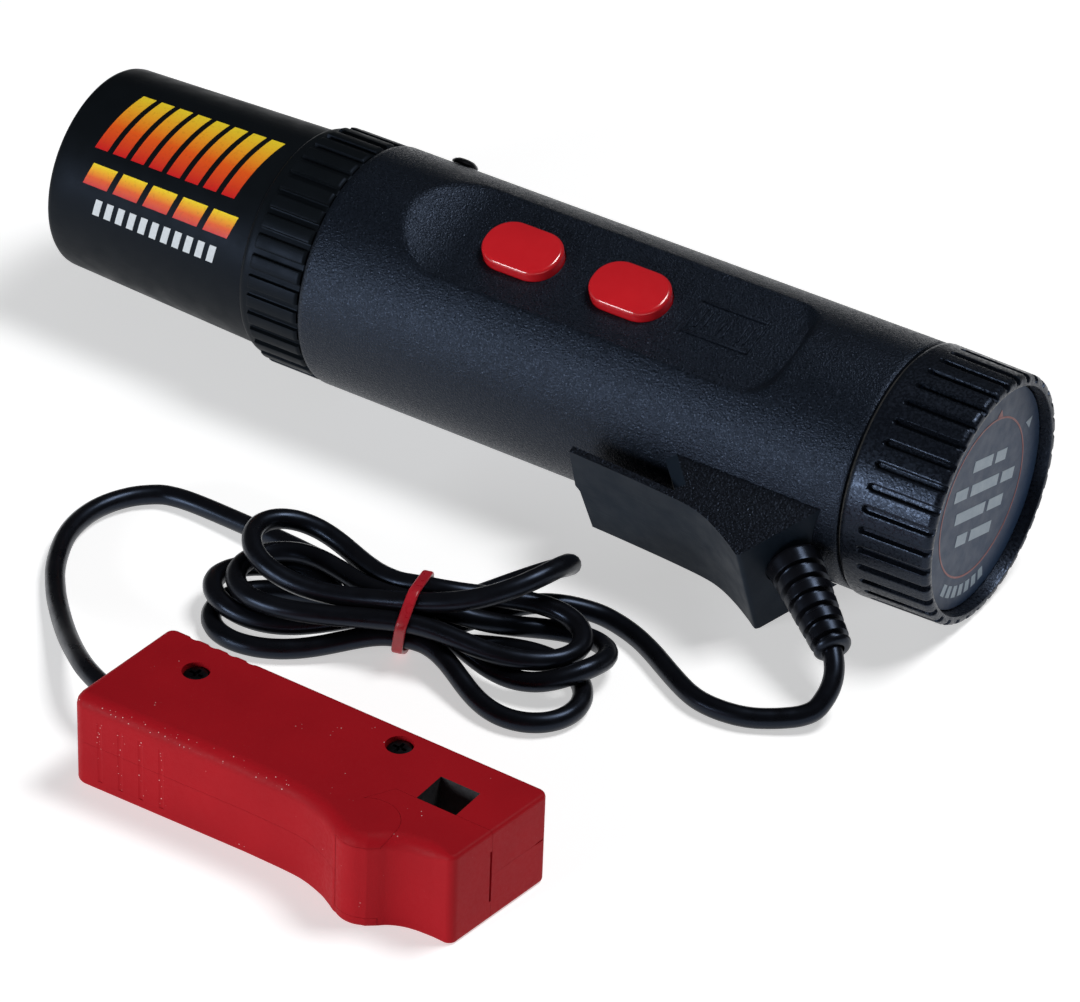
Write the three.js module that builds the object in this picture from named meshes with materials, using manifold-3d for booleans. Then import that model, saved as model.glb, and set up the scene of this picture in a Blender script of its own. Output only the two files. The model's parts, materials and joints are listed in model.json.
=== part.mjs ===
// A self-powered ignition timing light: a torch-shaped strobe with a red inductive pickup clamp on a thin lead.
// Millimetres, +Z up. The tool lies along X with its lens towards -X; the clamp and the hanked lead lie on its -Y side.
import * as THREE from "three";
import { mergeVertices } from "three/addons/utils/BufferGeometryUtils.js";
import Module from "manifold-3d";

const manifold = await Module();
manifold.setup();

// ---- Driving dimensions -------------------------------------------------------------------------------------

const GAP = 0.3; // between pieces that would touch
const AXIS_HEIGHT = 28.9; // the tool's axis above the table
const TOOL_Y = 68.84; // the tool's axis, from the part's own centre plane
const RECESS_ROLL = 17.5; // the button recess faces this many degrees towards -Y from straight up
const BRACKET_ROLL = 22; // the cord bracket's upright edges lean by this much

// Stations along the tool, from the lens end.
const COLLAR_START = 56.2;
const BODY_START = 72.9;
const BODY_END = 212.75;
const CAP_START = 213.45;
const TOOL_LENGTH = 234.75;

const BODY_R = 28.5;
const BODY_WALL = 2.2;
const BORE_R = BODY_R - BODY_WALL;
const CAP_R = AXIS_HEIGHT;
const COLLAR_R = 28.3;
const BARREL_FRONT_R = 24.1;
const BARREL_REAR_R = 26.0;
const SPIGOT_END = 90;

const RECESS_FLOOR = 25.0; // height of the flat above the axis
const RECESS_PLATE = 2.0;
const RECESS_SCOOP_R = 18;
const RECESS_FLAT = [101.9, 183.7];
const RECESS_REAR_R = 6;

const BUTTON_STATIONS = [119.2, 147.0];
const BUTTON_LENGTH = 19.0;
const BUTTON_WIDTH = 13;
const BUTTON_TOP = 28.0;
const BUTTON_SLIT = 0.3;

const TRAY_R = 18.2;
const TRAY_DROP = 4.8; // the tray's axis lies this far from the tool's axis, away from the buttons
const TRAY_START = 98;
const TRAY_END = 211;
const CELL_R = 7.1;
const CELL_LENGTH = 50.5;
const CELL_OFFSET = 7.7;

const BRACKET_TOP = 13.9;
const BRACKET_BOTTOM = -13.7;
const BLADE_THICKNESS = 2.6;
const BOOT_EXIT = [204.1, 32.7, 3.2]; // station, distance out and height in the bracket's own frame
const BOOT_TIP = [223.45, 48.75, 1.47];

const CORD_D = 4.5;
const CORD_R = CORD_D / 2;

const CLAMP_CORNER = [-4.7, -61.36]; // the clamp's back corner at its cable end
const CLAMP_YAW = -0.8;
const CLAMP_LENGTH = 94.3;
const CLAMP_DEPTH = 29.4;
const CLAMP_HEIGHT = 22.3;
const CLAMP_SPLIT = 11.15;
const KNUCKLE = [69.8, 29]; // the jaw's pivot: along the clamp, across from its back
const KNUCKLE_R = 6.4;
const WINDOW = { near: 74, far: 83.5, back: 8.9, front: 17.5 };
const CLAMP_SLANT = 2.8; // how much farther the finger side reaches at the cord's end
const CLAMP_SCREWS = [
  [13.4, 9.4],
  [61.4, 5.3],
];

const HANK_CENTRE = [22, -17.5];
const HANK_YAW = 15;
const HANK_HALF = 43;
const HANK_WAIST = 8;
const HANK_LOBE = 13.5;
const HANK_BOW = 3;

const rad = THREE.MathUtils.degToRad;

// ---- Materials ----------------------------------------------------------------------------------------------

const finish = (color, roughness, metalness = 0, extra = {}) => ({ color, roughness, metalness, ...extra });
const FINISHES = {
  body_black: finish(0x191d26, 0.5),
  barrel_black: finish(0x0e0f12, 0.4),
  bracket_black: finish(0x1d2026, 0.55),
  label_slate: finish(0x3a414c, 0.6),
  button_red: finish(0xba1621, 0.2),
  clamp_red: finish(0xa01722, 0.55),
  cord_black: finish(0x0b0c0e, 0.25),
  tie_red: finish(0xa01c2a, 0.45),
  seal_black: finish(0x101010, 0.8),
  clear_glass: finish(0xe8eef2, 0.05, 0, { transparent: true, opacity: 0.35 }),
  mirror: finish(0xdcdfe2, 0.1, 1),
  board_green: finish(0x1f5a34, 0.5),
  ferrite: finish(0x2b2b2e, 0.6),
  copper: finish(0xb06a35, 0.35, 0.8),
  brass: finish(0xc2a35a, 0.3, 1),
  steel: finish(0xb9bcc0, 0.3, 1),
  black_steel: finish(0x15151a, 0.4, 0.6),
  cell_jacket: finish(0x2f4f7a, 0.4),
  nylon_white: finish(0xd9d6cc, 0.6),
};

// ---- Shape tools --------------------------------------------------------------------------------------------

// A closed three.js geometry as a manifold solid, with its faces turned outwards.
function solid(geometry) {
  const loose = geometry.index ? geometry.toNonIndexed() : geometry;
  const bare = new THREE.BufferGeometry().setAttribute("position", loose.getAttribute("position"));
  const merged = mergeVertices(bare, 1e-4);
  const corners = merged.index.array;
  const kept = [];
  for (let i = 0; i < corners.length; i += 3) {
    const [a, b, c] = [corners[i], corners[i + 1], corners[i + 2]];
    if (a !== b && b !== c && c !== a) kept.push(a, b, c);
  }
  const build = (triVerts) =>
    new manifold.Manifold(
      new manifold.Mesh({
        numProp: 3,
        vertProperties: merged.attributes.position.array,
        triVerts: new Uint32Array(triVerts),
      }),
    );
  const made = build(kept);
  return made.volume() >= 0 ? made : build(kept.reverse());
}

function geometryOf(shape) {
  const mesh = shape.getMesh();
  const positions = new Float32Array(mesh.numVert * 3);
  for (let i = 0; i < mesh.numVert; i++)
    positions.set(mesh.vertProperties.subarray(i * mesh.numProp, i * mesh.numProp + 3), i * 3);
  const geometry = new THREE.BufferGeometry();
  geometry.setAttribute("position", new THREE.BufferAttribute(positions, 3));
  geometry.setIndex(new THREE.BufferAttribute(mesh.triVerts, 1));
  geometry.computeVertexNormals();
  return geometry;
}

const cut = (from, ...tools) => tools.reduce((left, tool) => left.subtract(tool), from);
const fuse = (...shapes) => shapes.reduce((all, shape) => all.add(shape));

// A solid of revolution about X, from a closed outline of [station, radius] points.
function turned(outline, segments = 48) {
  const points = [...outline, outline[0]].map(([station, radius]) => new THREE.Vector2(radius, station));
  return solid(new THREE.LatheGeometry(points, segments).rotateZ(-Math.PI / 2));
}

// A rod along X.
const rod = (from, to, radius, segments = 24) =>
  turned([[from, 0], [from, radius], [to, radius], [to, 0]], segments);

// A rod along Z, standing on the point (x, y).
const post = (x, y, low, high, radius, segments = 24) =>
  rod(low, high, radius, segments).rotate([0, -90, 0]).translate([x, y, 0]);

function block(x, y, z) {
  const size = [x[1] - x[0], y[1] - y[0], z[1] - z[0]];
  const box = new THREE.BoxGeometry(...size);
  return solid(box.translate((x[0] + x[1]) / 2, (y[0] + y[1]) / 2, (z[0] + z[1]) / 2));
}

// An upright prism over an outline of [x, y] points.
function prism(outline, low, high) {
  const shape = new THREE.Shape(outline.map(([x, y]) => new THREE.Vector2(x, y)));
  const geometry = new THREE.ExtrudeGeometry(shape, { depth: high - low, bevelEnabled: false });
  return solid(geometry.translate(0, 0, low));
}

// The points of an arc, with its ends, turning from one angle to the other in degrees.
function arc(centre, radius, from, to, steps) {
  return Array.from({ length: steps + 1 }, (_, i) => {
    const angle = rad(from + ((to - from) * i) / steps);
    return [centre[0] + radius * Math.cos(angle), centre[1] + radius * Math.sin(angle)];
  });
}

// A rectangle with round corners, centred on (x, y).
function roundedRectangle(x, y, length, width, radius, steps = 5) {
  const [dx, dy] = [length / 2 - radius, width / 2 - radius];
  return [
    ...arc([x + dx, y + dy], radius, 0, 90, steps),
    ...arc([x - dx, y + dy], radius, 90, 180, steps),
    ...arc([x - dx, y - dy], radius, 180, 270, steps),
    ...arc([x + dx, y - dy], radius, 270, 360, steps),
  ];
}

// A closed skin through rings of points, capped by a fan at each end.
function skin(rings) {
  const positions = [];
  const count = rings[0].length;
  const triangle = (...corners) => corners.forEach((p) => positions.push(p.x, p.y, p.z));
  const middle = (ring) => ring.reduce((sum, p) => sum.add(p), new THREE.Vector3()).divideScalar(count);
  const [first, last] = [middle(rings[0]), middle(rings.at(-1))];
  for (let j = 0; j < count; j++) {
    const k = (j + 1) % count;
    triangle(first, rings[0][k], rings[0][j]);
    triangle(last, rings.at(-1)[j], rings.at(-1)[k]);
    for (let i = 0; i + 1 < rings.length; i++) {
      triangle(rings[i][j], rings[i][k], rings[i + 1][k]);
      triangle(rings[i][j], rings[i + 1][k], rings[i + 1][j]);
    }
  }
  const geometry = new THREE.BufferGeometry();
  geometry.setAttribute("position", new THREE.Float32BufferAttribute(positions, 3));
  return solid(geometry);
}

// A round wire or cord along a curve.
function wire(curve, radius, steps, sides = 8) {
  const frames = curve.computeFrenetFrames(steps, false);
  const rings = [];
  for (let i = 0; i <= steps; i++) {
    const centre = curve.getPointAt(i / steps);
    const ring = [];
    for (let j = 0; j < sides; j++) {
      const angle = (2 * Math.PI * j) / sides;
      const offset = frames.normals[i].clone().multiplyScalar(Math.cos(angle) * radius);
      offset.addScaledVector(frames.binormals[i], Math.sin(angle) * radius);
      ring.push(centre.clone().add(offset));
    }
    rings.push(ring);
  }
  return skin(rings);
}

class Helix extends THREE.Curve {
  constructor(radius, low, high, turns) {
    super();
    Object.assign(this, { radius, low, high, turns });
  }
  getPoint(t, target = new THREE.Vector3()) {
    const angle = 2 * Math.PI * this.turns * t;
    const height = THREE.MathUtils.lerp(this.low, this.high, t);
    return target.set(this.radius * Math.cos(angle), this.radius * Math.sin(angle), height);
  }
}

const coilSpring = (x, y, radius, low, high, turns, wireRadius) =>
  wire(new Helix(radius, low, high, turns), wireRadius, Math.round(turns * 9), 5).translate([x, y, 0]);

// ---- The scene graph ----------------------------------------------------------------------------------------

const timingLight = new THREE.Group();
timingLight.name = "timing_light";

// The tool's own frame: x is the station from the lens end, and the axis is y = z = 0.
const tool = new THREE.Group();
tool.position.set(-TOOL_LENGTH / 2, TOOL_Y, AXIS_HEIGHT);
timingLight.add(tool);

// The tool's frame rolled so that +Z is square to the button recess.
const recessFrame = new THREE.Group();
recessFrame.rotation.x = rad(RECESS_ROLL);
tool.add(recessFrame);

// The tool's frame rolled to the bracket: -Y points straight out through the bracket.
const bracketFrame = new THREE.Group();
bracketFrame.rotation.x = rad(BRACKET_ROLL);
tool.add(bracketFrame);

// The clamp's frame: x runs from its cable end to its jaw, y is minus the distance from its back, z = 0 is the table.
const clamp = new THREE.Group();
clamp.position.set(CLAMP_CORNER[0], CLAMP_CORNER[1], 0);
clamp.rotation.z = rad(CLAMP_YAW);
timingLight.add(clamp);

const hankFrame = new THREE.Group();
hankFrame.position.set(HANK_CENTRE[0], HANK_CENTRE[1], 0);
hankFrame.rotation.z = rad(HANK_YAW);
timingLight.add(hankFrame);

function place(parent, name, shape, finishName) {
  const material = new THREE.MeshStandardMaterial({ name: finishName, ...FINISHES[finishName] });
  const mesh = new THREE.Mesh(geometryOf(shape), material);
  mesh.name = name;
  parent.add(mesh);
  return mesh;
}

// ---- Body and button recess ---------------------------------------------------------------------------------

// The recess seen from the side: a long flat, a scooped front end and a steeper rear end.
function recessCutter() {
  const [front, rear] = RECESS_FLAT;
  const roof = BODY_R + 4;
  const reach = (radius) => (Math.acos(1 - (roof - RECESS_FLOOR) / radius) * 180) / Math.PI;
  const frontArc = arc([front, RECESS_FLOOR + RECESS_SCOOP_R], RECESS_SCOOP_R, 270 - reach(RECESS_SCOOP_R), 270, 8);
  const rearCentre = [rear, RECESS_FLOOR + RECESS_REAR_R];
  const rearArc = arc(rearCentre, RECESS_REAR_R, 270, 360, 6);
  const outline = [...frontArc, ...rearArc, [rear + RECESS_REAR_R, roof]];
  return prism(outline, -20, 20).rotate([90, 0, 0]);
}

const buttonOutline = (station, grow = 0) =>
  roundedRectangle(station, 0, BUTTON_LENGTH + 2 * grow, BUTTON_WIDTH + 2 * grow, 6.1 + grow);

function bodyShell() {
  const outer = turned([
    [BODY_START, BORE_R],
    [BODY_START, BODY_R - 1.3],
    [BODY_START + 0.4, BODY_R - 0.45],
    [BODY_START + 1.4, BODY_R],
    [BODY_END - 0.5, BODY_R],
    [BODY_END, BODY_R - 0.5],
    [BODY_END, BORE_R],
  ], 60).rotate([-RECESS_ROLL, 0, 0]);
  const inside = RECESS_FLOOR - RECESS_PLATE;
  const plateSpan = [RECESS_FLAT[0] - 9, RECESS_FLAT[1] + 8];
  const plateBlank = turned([
    [plateSpan[0], 0],
    [plateSpan[0], BORE_R + 0.5],
    [plateSpan[1], BORE_R + 0.5],
    [plateSpan[1], 0],
  ], 72).intersect(block(plateSpan, [-BODY_R, BODY_R], [inside, BODY_R]));
  const posts = [-6, 6].map((y) => post(133.1, y, 15.9, inside + 0.5, 1.8, 12));
  let shell = cut(fuse(outer, plateBlank, ...posts), recessCutter());
  for (const station of BUTTON_STATIONS)
    shell = shell.subtract(prism(buttonOutline(station, BUTTON_SLIT), inside - 0.1, BODY_R));
  shell = shell.subtract(barrelScrewHole().rotate([-RECESS_ROLL, 0, 0]));
  for (const station of BRACKET_SCREWS)
    shell = shell.subtract(outwardRod(station, 20, 30, 1.7).rotate([BRACKET_ROLL - RECESS_ROLL, 0, 0]));
  return shell;
}

// A rod pointing out along -Y at a station, between two distances from the tool's axis.
const outwardRod = (station, from, to, radius, segments = 16) =>
  rod(from, to, radius, segments).rotate([0, 0, -90]).translate([station, 0, 0]);

// The screw that holds the barrel's spigot sits on the far side of the body, high up.
const BARREL_SCREW_STATION = 86.6;
const BARREL_SCREW_ANGLE = 50;
const farSideRod = (from, to, radius, segments = 20) =>
  rod(from, to, radius, segments)
    .rotate([0, 0, 90])
    .rotate([BARREL_SCREW_ANGLE, 0, 0])
    .translate([BARREL_SCREW_STATION, 0, 0]);
const barrelScrewHole = () => farSideRod(22, 32, 1.7, 12);

function barrelScrew() {
  const profile = [[23, 0], [23, 1.4], [28.6, 1.4], [28.6, 3.1], [29.2, 2.9], [29.9, 1.9], [30.2, 0]];
  return turned(profile, 20)
    .rotate([0, 0, 90])
    .rotate([BARREL_SCREW_ANGLE, 0, 0])
    .translate([BARREL_SCREW_STATION, 0, 0]);
}

const BRACKET_SCREWS = [184, 198];

place(recessFrame, "body_shell", bodyShell(), "body_black");
place(tool, "barrel_screw", barrelScrew(), "black_steel");

// ---- Front barrel, collar and optics ------------------------------------------------------------------------

function lensBarrel() {
  const shell = turned([
    [0, 22.2],
    [0, 22.9],
    [0.7, BARREL_FRONT_R - 0.3],
    [2, BARREL_FRONT_R],
    [COLLAR_START, BARREL_REAR_R],
    [SPIGOT_END, BORE_R - 0.35],
    [SPIGOT_END, 23.8],
    [12, 22.3],
    [12, 20.6],
    [7, 20.6],
    [7, 22.2],
  ], 48);
  return shell.subtract(barrelScrewHole());
}

function frontLens() {
  const edge = Array.from({ length: 5 }, (_, i) => {
    const radius = 21.9 * (1 - i / 4);
    return [2.4 + 2.2 * (radius / 21.9) ** 2, radius];
  });
  return turned([[6.7, 0], [6.7, 21.9], ...edge], 40);
}

function reflector() {
  const [mouth, neck, vertex] = [13, 43.9, 46];
  const squared = 20 ** 2 / (vertex - mouth);
  const radiusAt = (station) => Math.sqrt(squared * (vertex - station));
  const stations = Array.from({ length: 7 }, (_, i) => neck - (neck - mouth) * (1 - i / 6) ** 1.6);
  const inner = stations.map((x) => [x, radiusAt(x)]);
  const outer = stations.map((x) => [x, radiusAt(x) + 1.1]).reverse();
  return turned([...inner, ...outer, [mouth + 0.9, 22.0], [mouth - 0.6, 22.0], [mouth - 0.6, 20.3]], 24);
}

function flashTube() {
  return turned([[24, 0], [24.5, 1.3], [26, 2], [48.6, 2], [50, 1.2], [50, 0]], 16);
}

function tubeSocket() {
  return turned([[45.4, 2.3], [45.4, 9], [52, 9], [52, 0], [50.3, 0], [50.3, 2.3]], 24);
}

// The collar clamps the barrel to the body: a smooth shoulder and a band of square ribs.
const RIB_COUNT = 36;
function frontCollar() {
  const ribStart = COLLAR_START + 3.4;
  const end = BODY_START - GAP;
  const root = COLLAR_R - 1.0;
  const shoulder = turned([
    [COLLAR_START, BARREL_REAR_R - 1],
    [COLLAR_START, COLLAR_R - 2.0],
    [COLLAR_START + 1.0, COLLAR_R - 1.2],
    [ribStart + 0.2, root],
    [ribStart + 0.2, BARREL_REAR_R - 1],
  ], 72);
  const pitch = 360 / RIB_COUNT;
  const outline = Array.from({ length: RIB_COUNT }, (_, i) => [
    ...arc([0, 0], COLLAR_R, i * pitch - 2.9, i * pitch + 2.9, 1),
    ...arc([0, 0], root, i * pitch + 3.5, i * pitch + pitch - 3.5, 1),
  ]).flat();
  const band = prism(outline, ribStart, end).rotate([0, 90, 0]);
  return fuse(shoulder, band).subtract(rod(COLLAR_START - 1, end + 1, BARREL_REAR_R + 0.5, 48));
}

place(tool, "lens_barrel", lensBarrel(), "barrel_black");
place(tool, "front_lens", frontLens(), "clear_glass");
place(tool, "lens_ring", turned([[1.4, 20.2], [1.4, 21.9], [3.8, 21.9], [3.8, 20.2]], 40), "barrel_black");
place(tool, "reflector", reflector(), "mirror");
place(tool, "flash_tube", flashTube(), "clear_glass");
place(tool, "tube_socket", tubeSocket(), "nylon_white");
place(tool, "front_collar", frontCollar(), "barrel_black");

// ---- Electronics --------------------------------------------------------------------------------------------

const BOARD_TOP = -8;
place(recessFrame, "circuit_board", block([54, 90], [-20.6, 20.6], [BOARD_TOP - 1.6, BOARD_TOP]), "board_green");
place(recessFrame, "inverter_transformer", transformer(), "ferrite");
place(recessFrame, "storage_capacitor", rod(60, 88, 7.5, 28).translate([0, -10, BOARD_TOP + 7.8]), "cell_jacket");
place(recessFrame, "trigger_coil", post(84, 9, BOARD_TOP + GAP, BOARD_TOP + 11, 4.2, 20), "copper");

// Two E-shaped halves round a bobbin.
function transformer() {
  const core = block([58, 74], [1, 17], [BOARD_TOP + GAP, BOARD_TOP + 12]);
  const bobbin = block([60, 72], [-0.5, 18.5], [BOARD_TOP + 2.5, BOARD_TOP + 9.5]);
  return fuse(core, bobbin);
}

const SWITCH_BOARD = [14.3, 15.7];
place(recessFrame, "switch_board", block([112, 154], [-8, 8], SWITCH_BOARD), "board_green");

function tactSwitch(station) {
  const base = block([station - 3, station + 3], [-3, 3], [SWITCH_BOARD[1] + 0.2, 18.6]);
  return fuse(base, post(station, 0, 18.4, 19.4, 1.6, 12));
}

// A pillow-topped key on a flange that stops it inside the recess plate.
function button(station) {
  const levels = [
    [22.6, 0],
    [BUTTON_TOP - 1.9, 0],
    [BUTTON_TOP - 0.9, 0.25],
    [BUTTON_TOP - 0.3, 0.9],
    [BUTTON_TOP, 2.3],
  ];
  const rings = levels.map(([height, inset]) =>
    buttonOutline(station, -inset).map(([x, y]) => new THREE.Vector3(x, y, height)),
  );
  const flange = prism(buttonOutline(station, 1.6), 21.6, RECESS_FLOOR - RECESS_PLATE - GAP);
  return fuse(skin(rings), flange, post(station, 0, 21.0, 22, 2, 12));
}

["power", "flash"].forEach((role, i) => {
  const station = BUTTON_STATIONS[i];
  place(recessFrame, role + "_button", button(station), "button_red");
  place(recessFrame, role + "_switch", tactSwitch(station), "black_steel");
  place(recessFrame, role + "_button_spring", coilSpring(station, 0, 5, 16.3, 21.0, 3, 0.3), "steel");
});

// The bulkhead carries the two leaves that the battery tray pushes against.
place(tool, "contact_bulkhead", rod(90.5, 92.3, BORE_R - 0.4, 36), "nylon_white");
[-1, 1].forEach((side) => {
  const name = side < 0 ? "contact_leaf_minus" : "contact_leaf_plus";
  const terminal = side < 0 ? "tray_terminal_minus" : "tray_terminal_plus";
  const leaf = prism([[92.6, 2], [93.2, 2], [96.9, 7], [93.2, 12], [92.6, 12], [96.2, 7]], -2.5, 2.5);
  place(recessFrame, name, leaf.translate([0, side > 0 ? 1 : -15, -TRAY_DROP]), "brass");
  const stud = rod(97.2, TRAY_START - 0.2, 2.6, 16).translate([0, side > 0 ? 8 : -8, -TRAY_DROP]);
  place(recessFrame, terminal, stud, "brass");
});

// ---- Battery tray and cells ---------------------------------------------------------------------------------

function batteryTray() {
  const web = 0.5;
  const middle = (TRAY_START + TRAY_END) / 2;
  const discs = [TRAY_START, middle - 1, TRAY_END - 2].map((x) => rod(x, x + 2, TRAY_R, 40));
  const reach = TRAY_R - 0.8;
  const upright = block([TRAY_START + 1, TRAY_END - 1], [-web, web], [-reach, reach]);
  const level = block([TRAY_START + 1, TRAY_END - 1], [-reach, reach], [-web, web]);
  const pivot = rod(TRAY_END - 0.5, 226, 3, 20).translate([0, 0, TRAY_DROP]);
  return fuse(...discs, upright, level, pivot).translate([0, 0, -TRAY_DROP]);
}

function cell() {
  const nub = [[CELL_LENGTH - 1.4, 2.6], [CELL_LENGTH, 2.6], [CELL_LENGTH, 0]];
  return turned([[0, 0], [0, CELL_R], [CELL_LENGTH - 1.4, CELL_R], ...nub], 14);
}

place(recessFrame, "battery_tray", batteryTray(), "nylon_white");
const rows = [TRAY_START + 3.5, (TRAY_START + TRAY_END) / 2 + 2.5];
const quarters = [[-1, -1], [1, -1], [1, 1], [-1, 1]];
rows.forEach((start, row) =>
  quarters.forEach(([y, z], i) => {
    const height = z * CELL_OFFSET - TRAY_DROP;
    const piece = cell().translate([start, y * CELL_OFFSET, height]);
    place(recessFrame, "cell_" + (row * 4 + i + 1), piece, "cell_jacket");
  }),
);

// ---- Rear cap -----------------------------------------------------------------------------------------------

const LABEL_DEPTH = 2.8;
function rearCap() {
  const end = TOOL_LENGTH;
  const floor = end - LABEL_DEPTH - 0.9;
  const cap = turned([
    [floor, 0],
    [floor, 25.9],
    [end, 26.2],
    [end, 27.6],
    [end - 1.1, 28.5],
    [CAP_START + 1.0, CAP_R],
    [CAP_START + 0.3, CAP_R - 0.25],
    [CAP_START, CAP_R - 0.9],
    [CAP_START, BORE_R - 0.35],
    [CAP_START - 8.5, BORE_R - 0.35],
    [CAP_START - 8.5, 23.7],
    [floor - 2.4, 23.7],
    [floor - 2.4, 6],
    [220, 6],
    [220, 3.3],
    [226.4, 3.3],
    [226.4, 0],
  ], 48);
  const groove = prism([...arc([CAP_START + 5.4, 0], 0.8, 90, 270, 4), [end + 1, -0.8], [end + 1, 0.8]], 27.5, 31);
  const pitch = 360 / RIB_COUNT;
  const grooves = Array.from({ length: RIB_COUNT }, (_, i) => groove.rotate([(i + 0.5) * pitch, 0, 0]));
  return cut(cap, ...grooves);
}

const labelDisc = rod(TOOL_LENGTH - LABEL_DEPTH - 0.7, TOOL_LENGTH - LABEL_DEPTH, 25.6, 48);
const gasket = turned([
  [BODY_END + 0.1, BORE_R + 0.2],
  [BODY_END + 0.1, 27.7],
  [CAP_START - 0.1, 27.7],
  [CAP_START - 0.1, BORE_R + 0.2],
], 48);
place(tool, "rear_cap", rearCap(), "body_black");
place(tool, "cap_label", labelDisc, "label_slate");
place(tool, "cap_gasket", gasket, "seal_black");

// ---- Cord bracket and strain relief -------------------------------------------------------------------------

// Seen along its upright edges: a thin blade beside the body that flares into the foot holding the cord.
function cordBracket() {
  const flare = [[149.6, 34.0], [160, 34.4], [172, 35.0], [181, 35.7], [186, 36.8], [191, 38.9], [195.5, 41.3]];
  const foot = [[198.2, 43.1], [208.8, 24.4], [208.8, 18], [162.2, 18], [177.2, 35.4 - BLADE_THICKNESS]];
  const blade = [[160, 34.4 - BLADE_THICKNESS], [149.6, 34 - BLADE_THICKNESS]];
  const outline = [...flare, ...foot, ...blade].map(([x, out]) => [x, -out]);
  const blank = prism(outline, BRACKET_BOTTOM, BRACKET_TOP);
  // The blade's end is drafted both ways from the mould's parting line, with a step there.
  const edge = [[150.8, BRACKET_TOP + 1], [149.6, 0.8], [150.5, -0.8], [151.3, BRACKET_BOTTOM - 1]];
  const endTrim = prism([[140, BRACKET_BOTTOM - 1], [140, BRACKET_TOP + 1], ...edge], 25, 40).rotate([90, 0, 0]);
  const clearance = rod(140, 230, BODY_R + GAP, 60);
  const holes = BRACKET_SCREWS.map((station) => outwardRod(station, 20, 34.2, 1.7));
  const seat = [[-1.6, 0], [-1.6, 3.3], [0.5, 3.3], [0.5, 6.5], [8, 6.5], [8, 0]];
  return cut(blank, endTrim, clearance, ...holes, bootAlong(seat, 18));
}

const bootExit = new THREE.Vector3(BOOT_EXIT[0], -BOOT_EXIT[1], BOOT_EXIT[2]);
const bootTip = new THREE.Vector3(BOOT_TIP[0], -BOOT_TIP[1], BOOT_TIP[2]);
const BOOT_LENGTH = bootExit.distanceTo(bootTip);

// Turns an outline of [distance, radius] points about the boot's own axis, measured from where it leaves the bracket.
function bootAlong(outline, segments) {
  const direction = bootTip.clone().sub(bootExit).normalize();
  const turn = new THREE.Quaternion().setFromUnitVectors(new THREE.Vector3(1, 0, 0), direction);
  const frame = new THREE.Matrix4().compose(bootExit, turn, new THREE.Vector3(1, 1, 1));
  return turned(outline, segments).transform(frame.toArray());
}

function cableBoot() {
  const ribs = 6;
  const outline = [[-1.2, CORD_R + 0.5], [-1.2, 3.0], [0.8, 3.0], [0.8, 6.1]];
  for (let i = 0; i < ribs; i++) {
    const start = 2.2 + (i * (BOOT_LENGTH - 4)) / ribs;
    const outer = 6.2 - 0.34 * i;
    outline.push([start, outer], [start + 1.9, outer - 0.1], [start + 2.2, outer - 1.2], [start + 3.0, outer - 1.3]);
  }
  outline.push([BOOT_LENGTH - 1.6, 4.2], [BOOT_LENGTH, 3.6], [BOOT_LENGTH, CORD_R + 0.5]);
  return bootAlong(outline, 14);
}

place(bracketFrame, "cord_bracket", cordBracket(), "bracket_black");
place(bracketFrame, "cable_boot", cableBoot(), "cord_black");
BRACKET_SCREWS.forEach((station, i) => {
  const screw = fuse(outwardRod(station, 24.2, 25.7, 2.9), outwardRod(station, 25.5, 33.6, 1.35));
  place(bracketFrame, "bracket_screw_" + (i + 1), screw, "steel");
});

// ---- Pickup clamp -------------------------------------------------------------------------------------------

const [KX, KY] = KNUCKLE;
const mirrored = (outline) => outline.map(([along, across]) => [along, -across]);

// The finger-side outline, from the concave scoop near the jaw's tip back over the ridge.
const SCOOP = [[86, 29.3], [82.6, 29.6], [79.6, 30.3], [77.2, 31.5], [75.4, 33.0], [73.6, 34.4], [72.2, 35.0]];
const ridge = arc(KNUCKLE, KNUCKLE_R, 78, 128, 4);

function housingOutline() {
  return mirrored([
    ...arc([2, 2], 2, 180, 270, 3),
    ...arc([CLAMP_LENGTH - 2.2, 2.2], 2.2, 270, 354, 3),
    ...arc([CLAMP_LENGTH - 5.2, CLAMP_DEPTH - 2.1], 2.1, -6, 90, 3),
    ...SCOOP,
    ...ridge,
    [60.5, 31.5],
    [55.5, 29.9],
    [50.5, CLAMP_DEPTH],
    ...arc([2 - CLAMP_SLANT, CLAMP_DEPTH - 0.9], 2, 90, 180, 3),
  ]);
}

// The jaw's inner boundary: round the knuckle, then straight along the window's front and out at the tip.
const JAW_FLAT_START = 69;
function jawBoundary(grow) {
  const low = WINDOW.front - grow;
  const toCorner = [JAW_FLAT_START - KX, low - KY];
  const bearing = Math.atan2(toCorner[1], toCorner[0]);
  const knuckle = KNUCKLE_R + grow;
  const tangent = THREE.MathUtils.radToDeg(bearing - Math.acos(knuckle / Math.hypot(...toCorner))) + 360;
  return [...arc(KNUCKLE, knuckle, 134, tangent, 8), [JAW_FLAT_START, low], [CLAMP_LENGTH + 5, low]];
}

const jawRegion = (grow, low, high) =>
  prism(mirrored([...jawBoundary(grow), [CLAMP_LENGTH + 5, 50], [62, 50]]), low, high);

const EAR = 2.3; // each half keeps a disc this thick over the jaw's knuckle, to hold the pin
const knucklePost = (low, high, radius, segments = 28) => post(KX, -KY, low, high, radius, segments);

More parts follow.
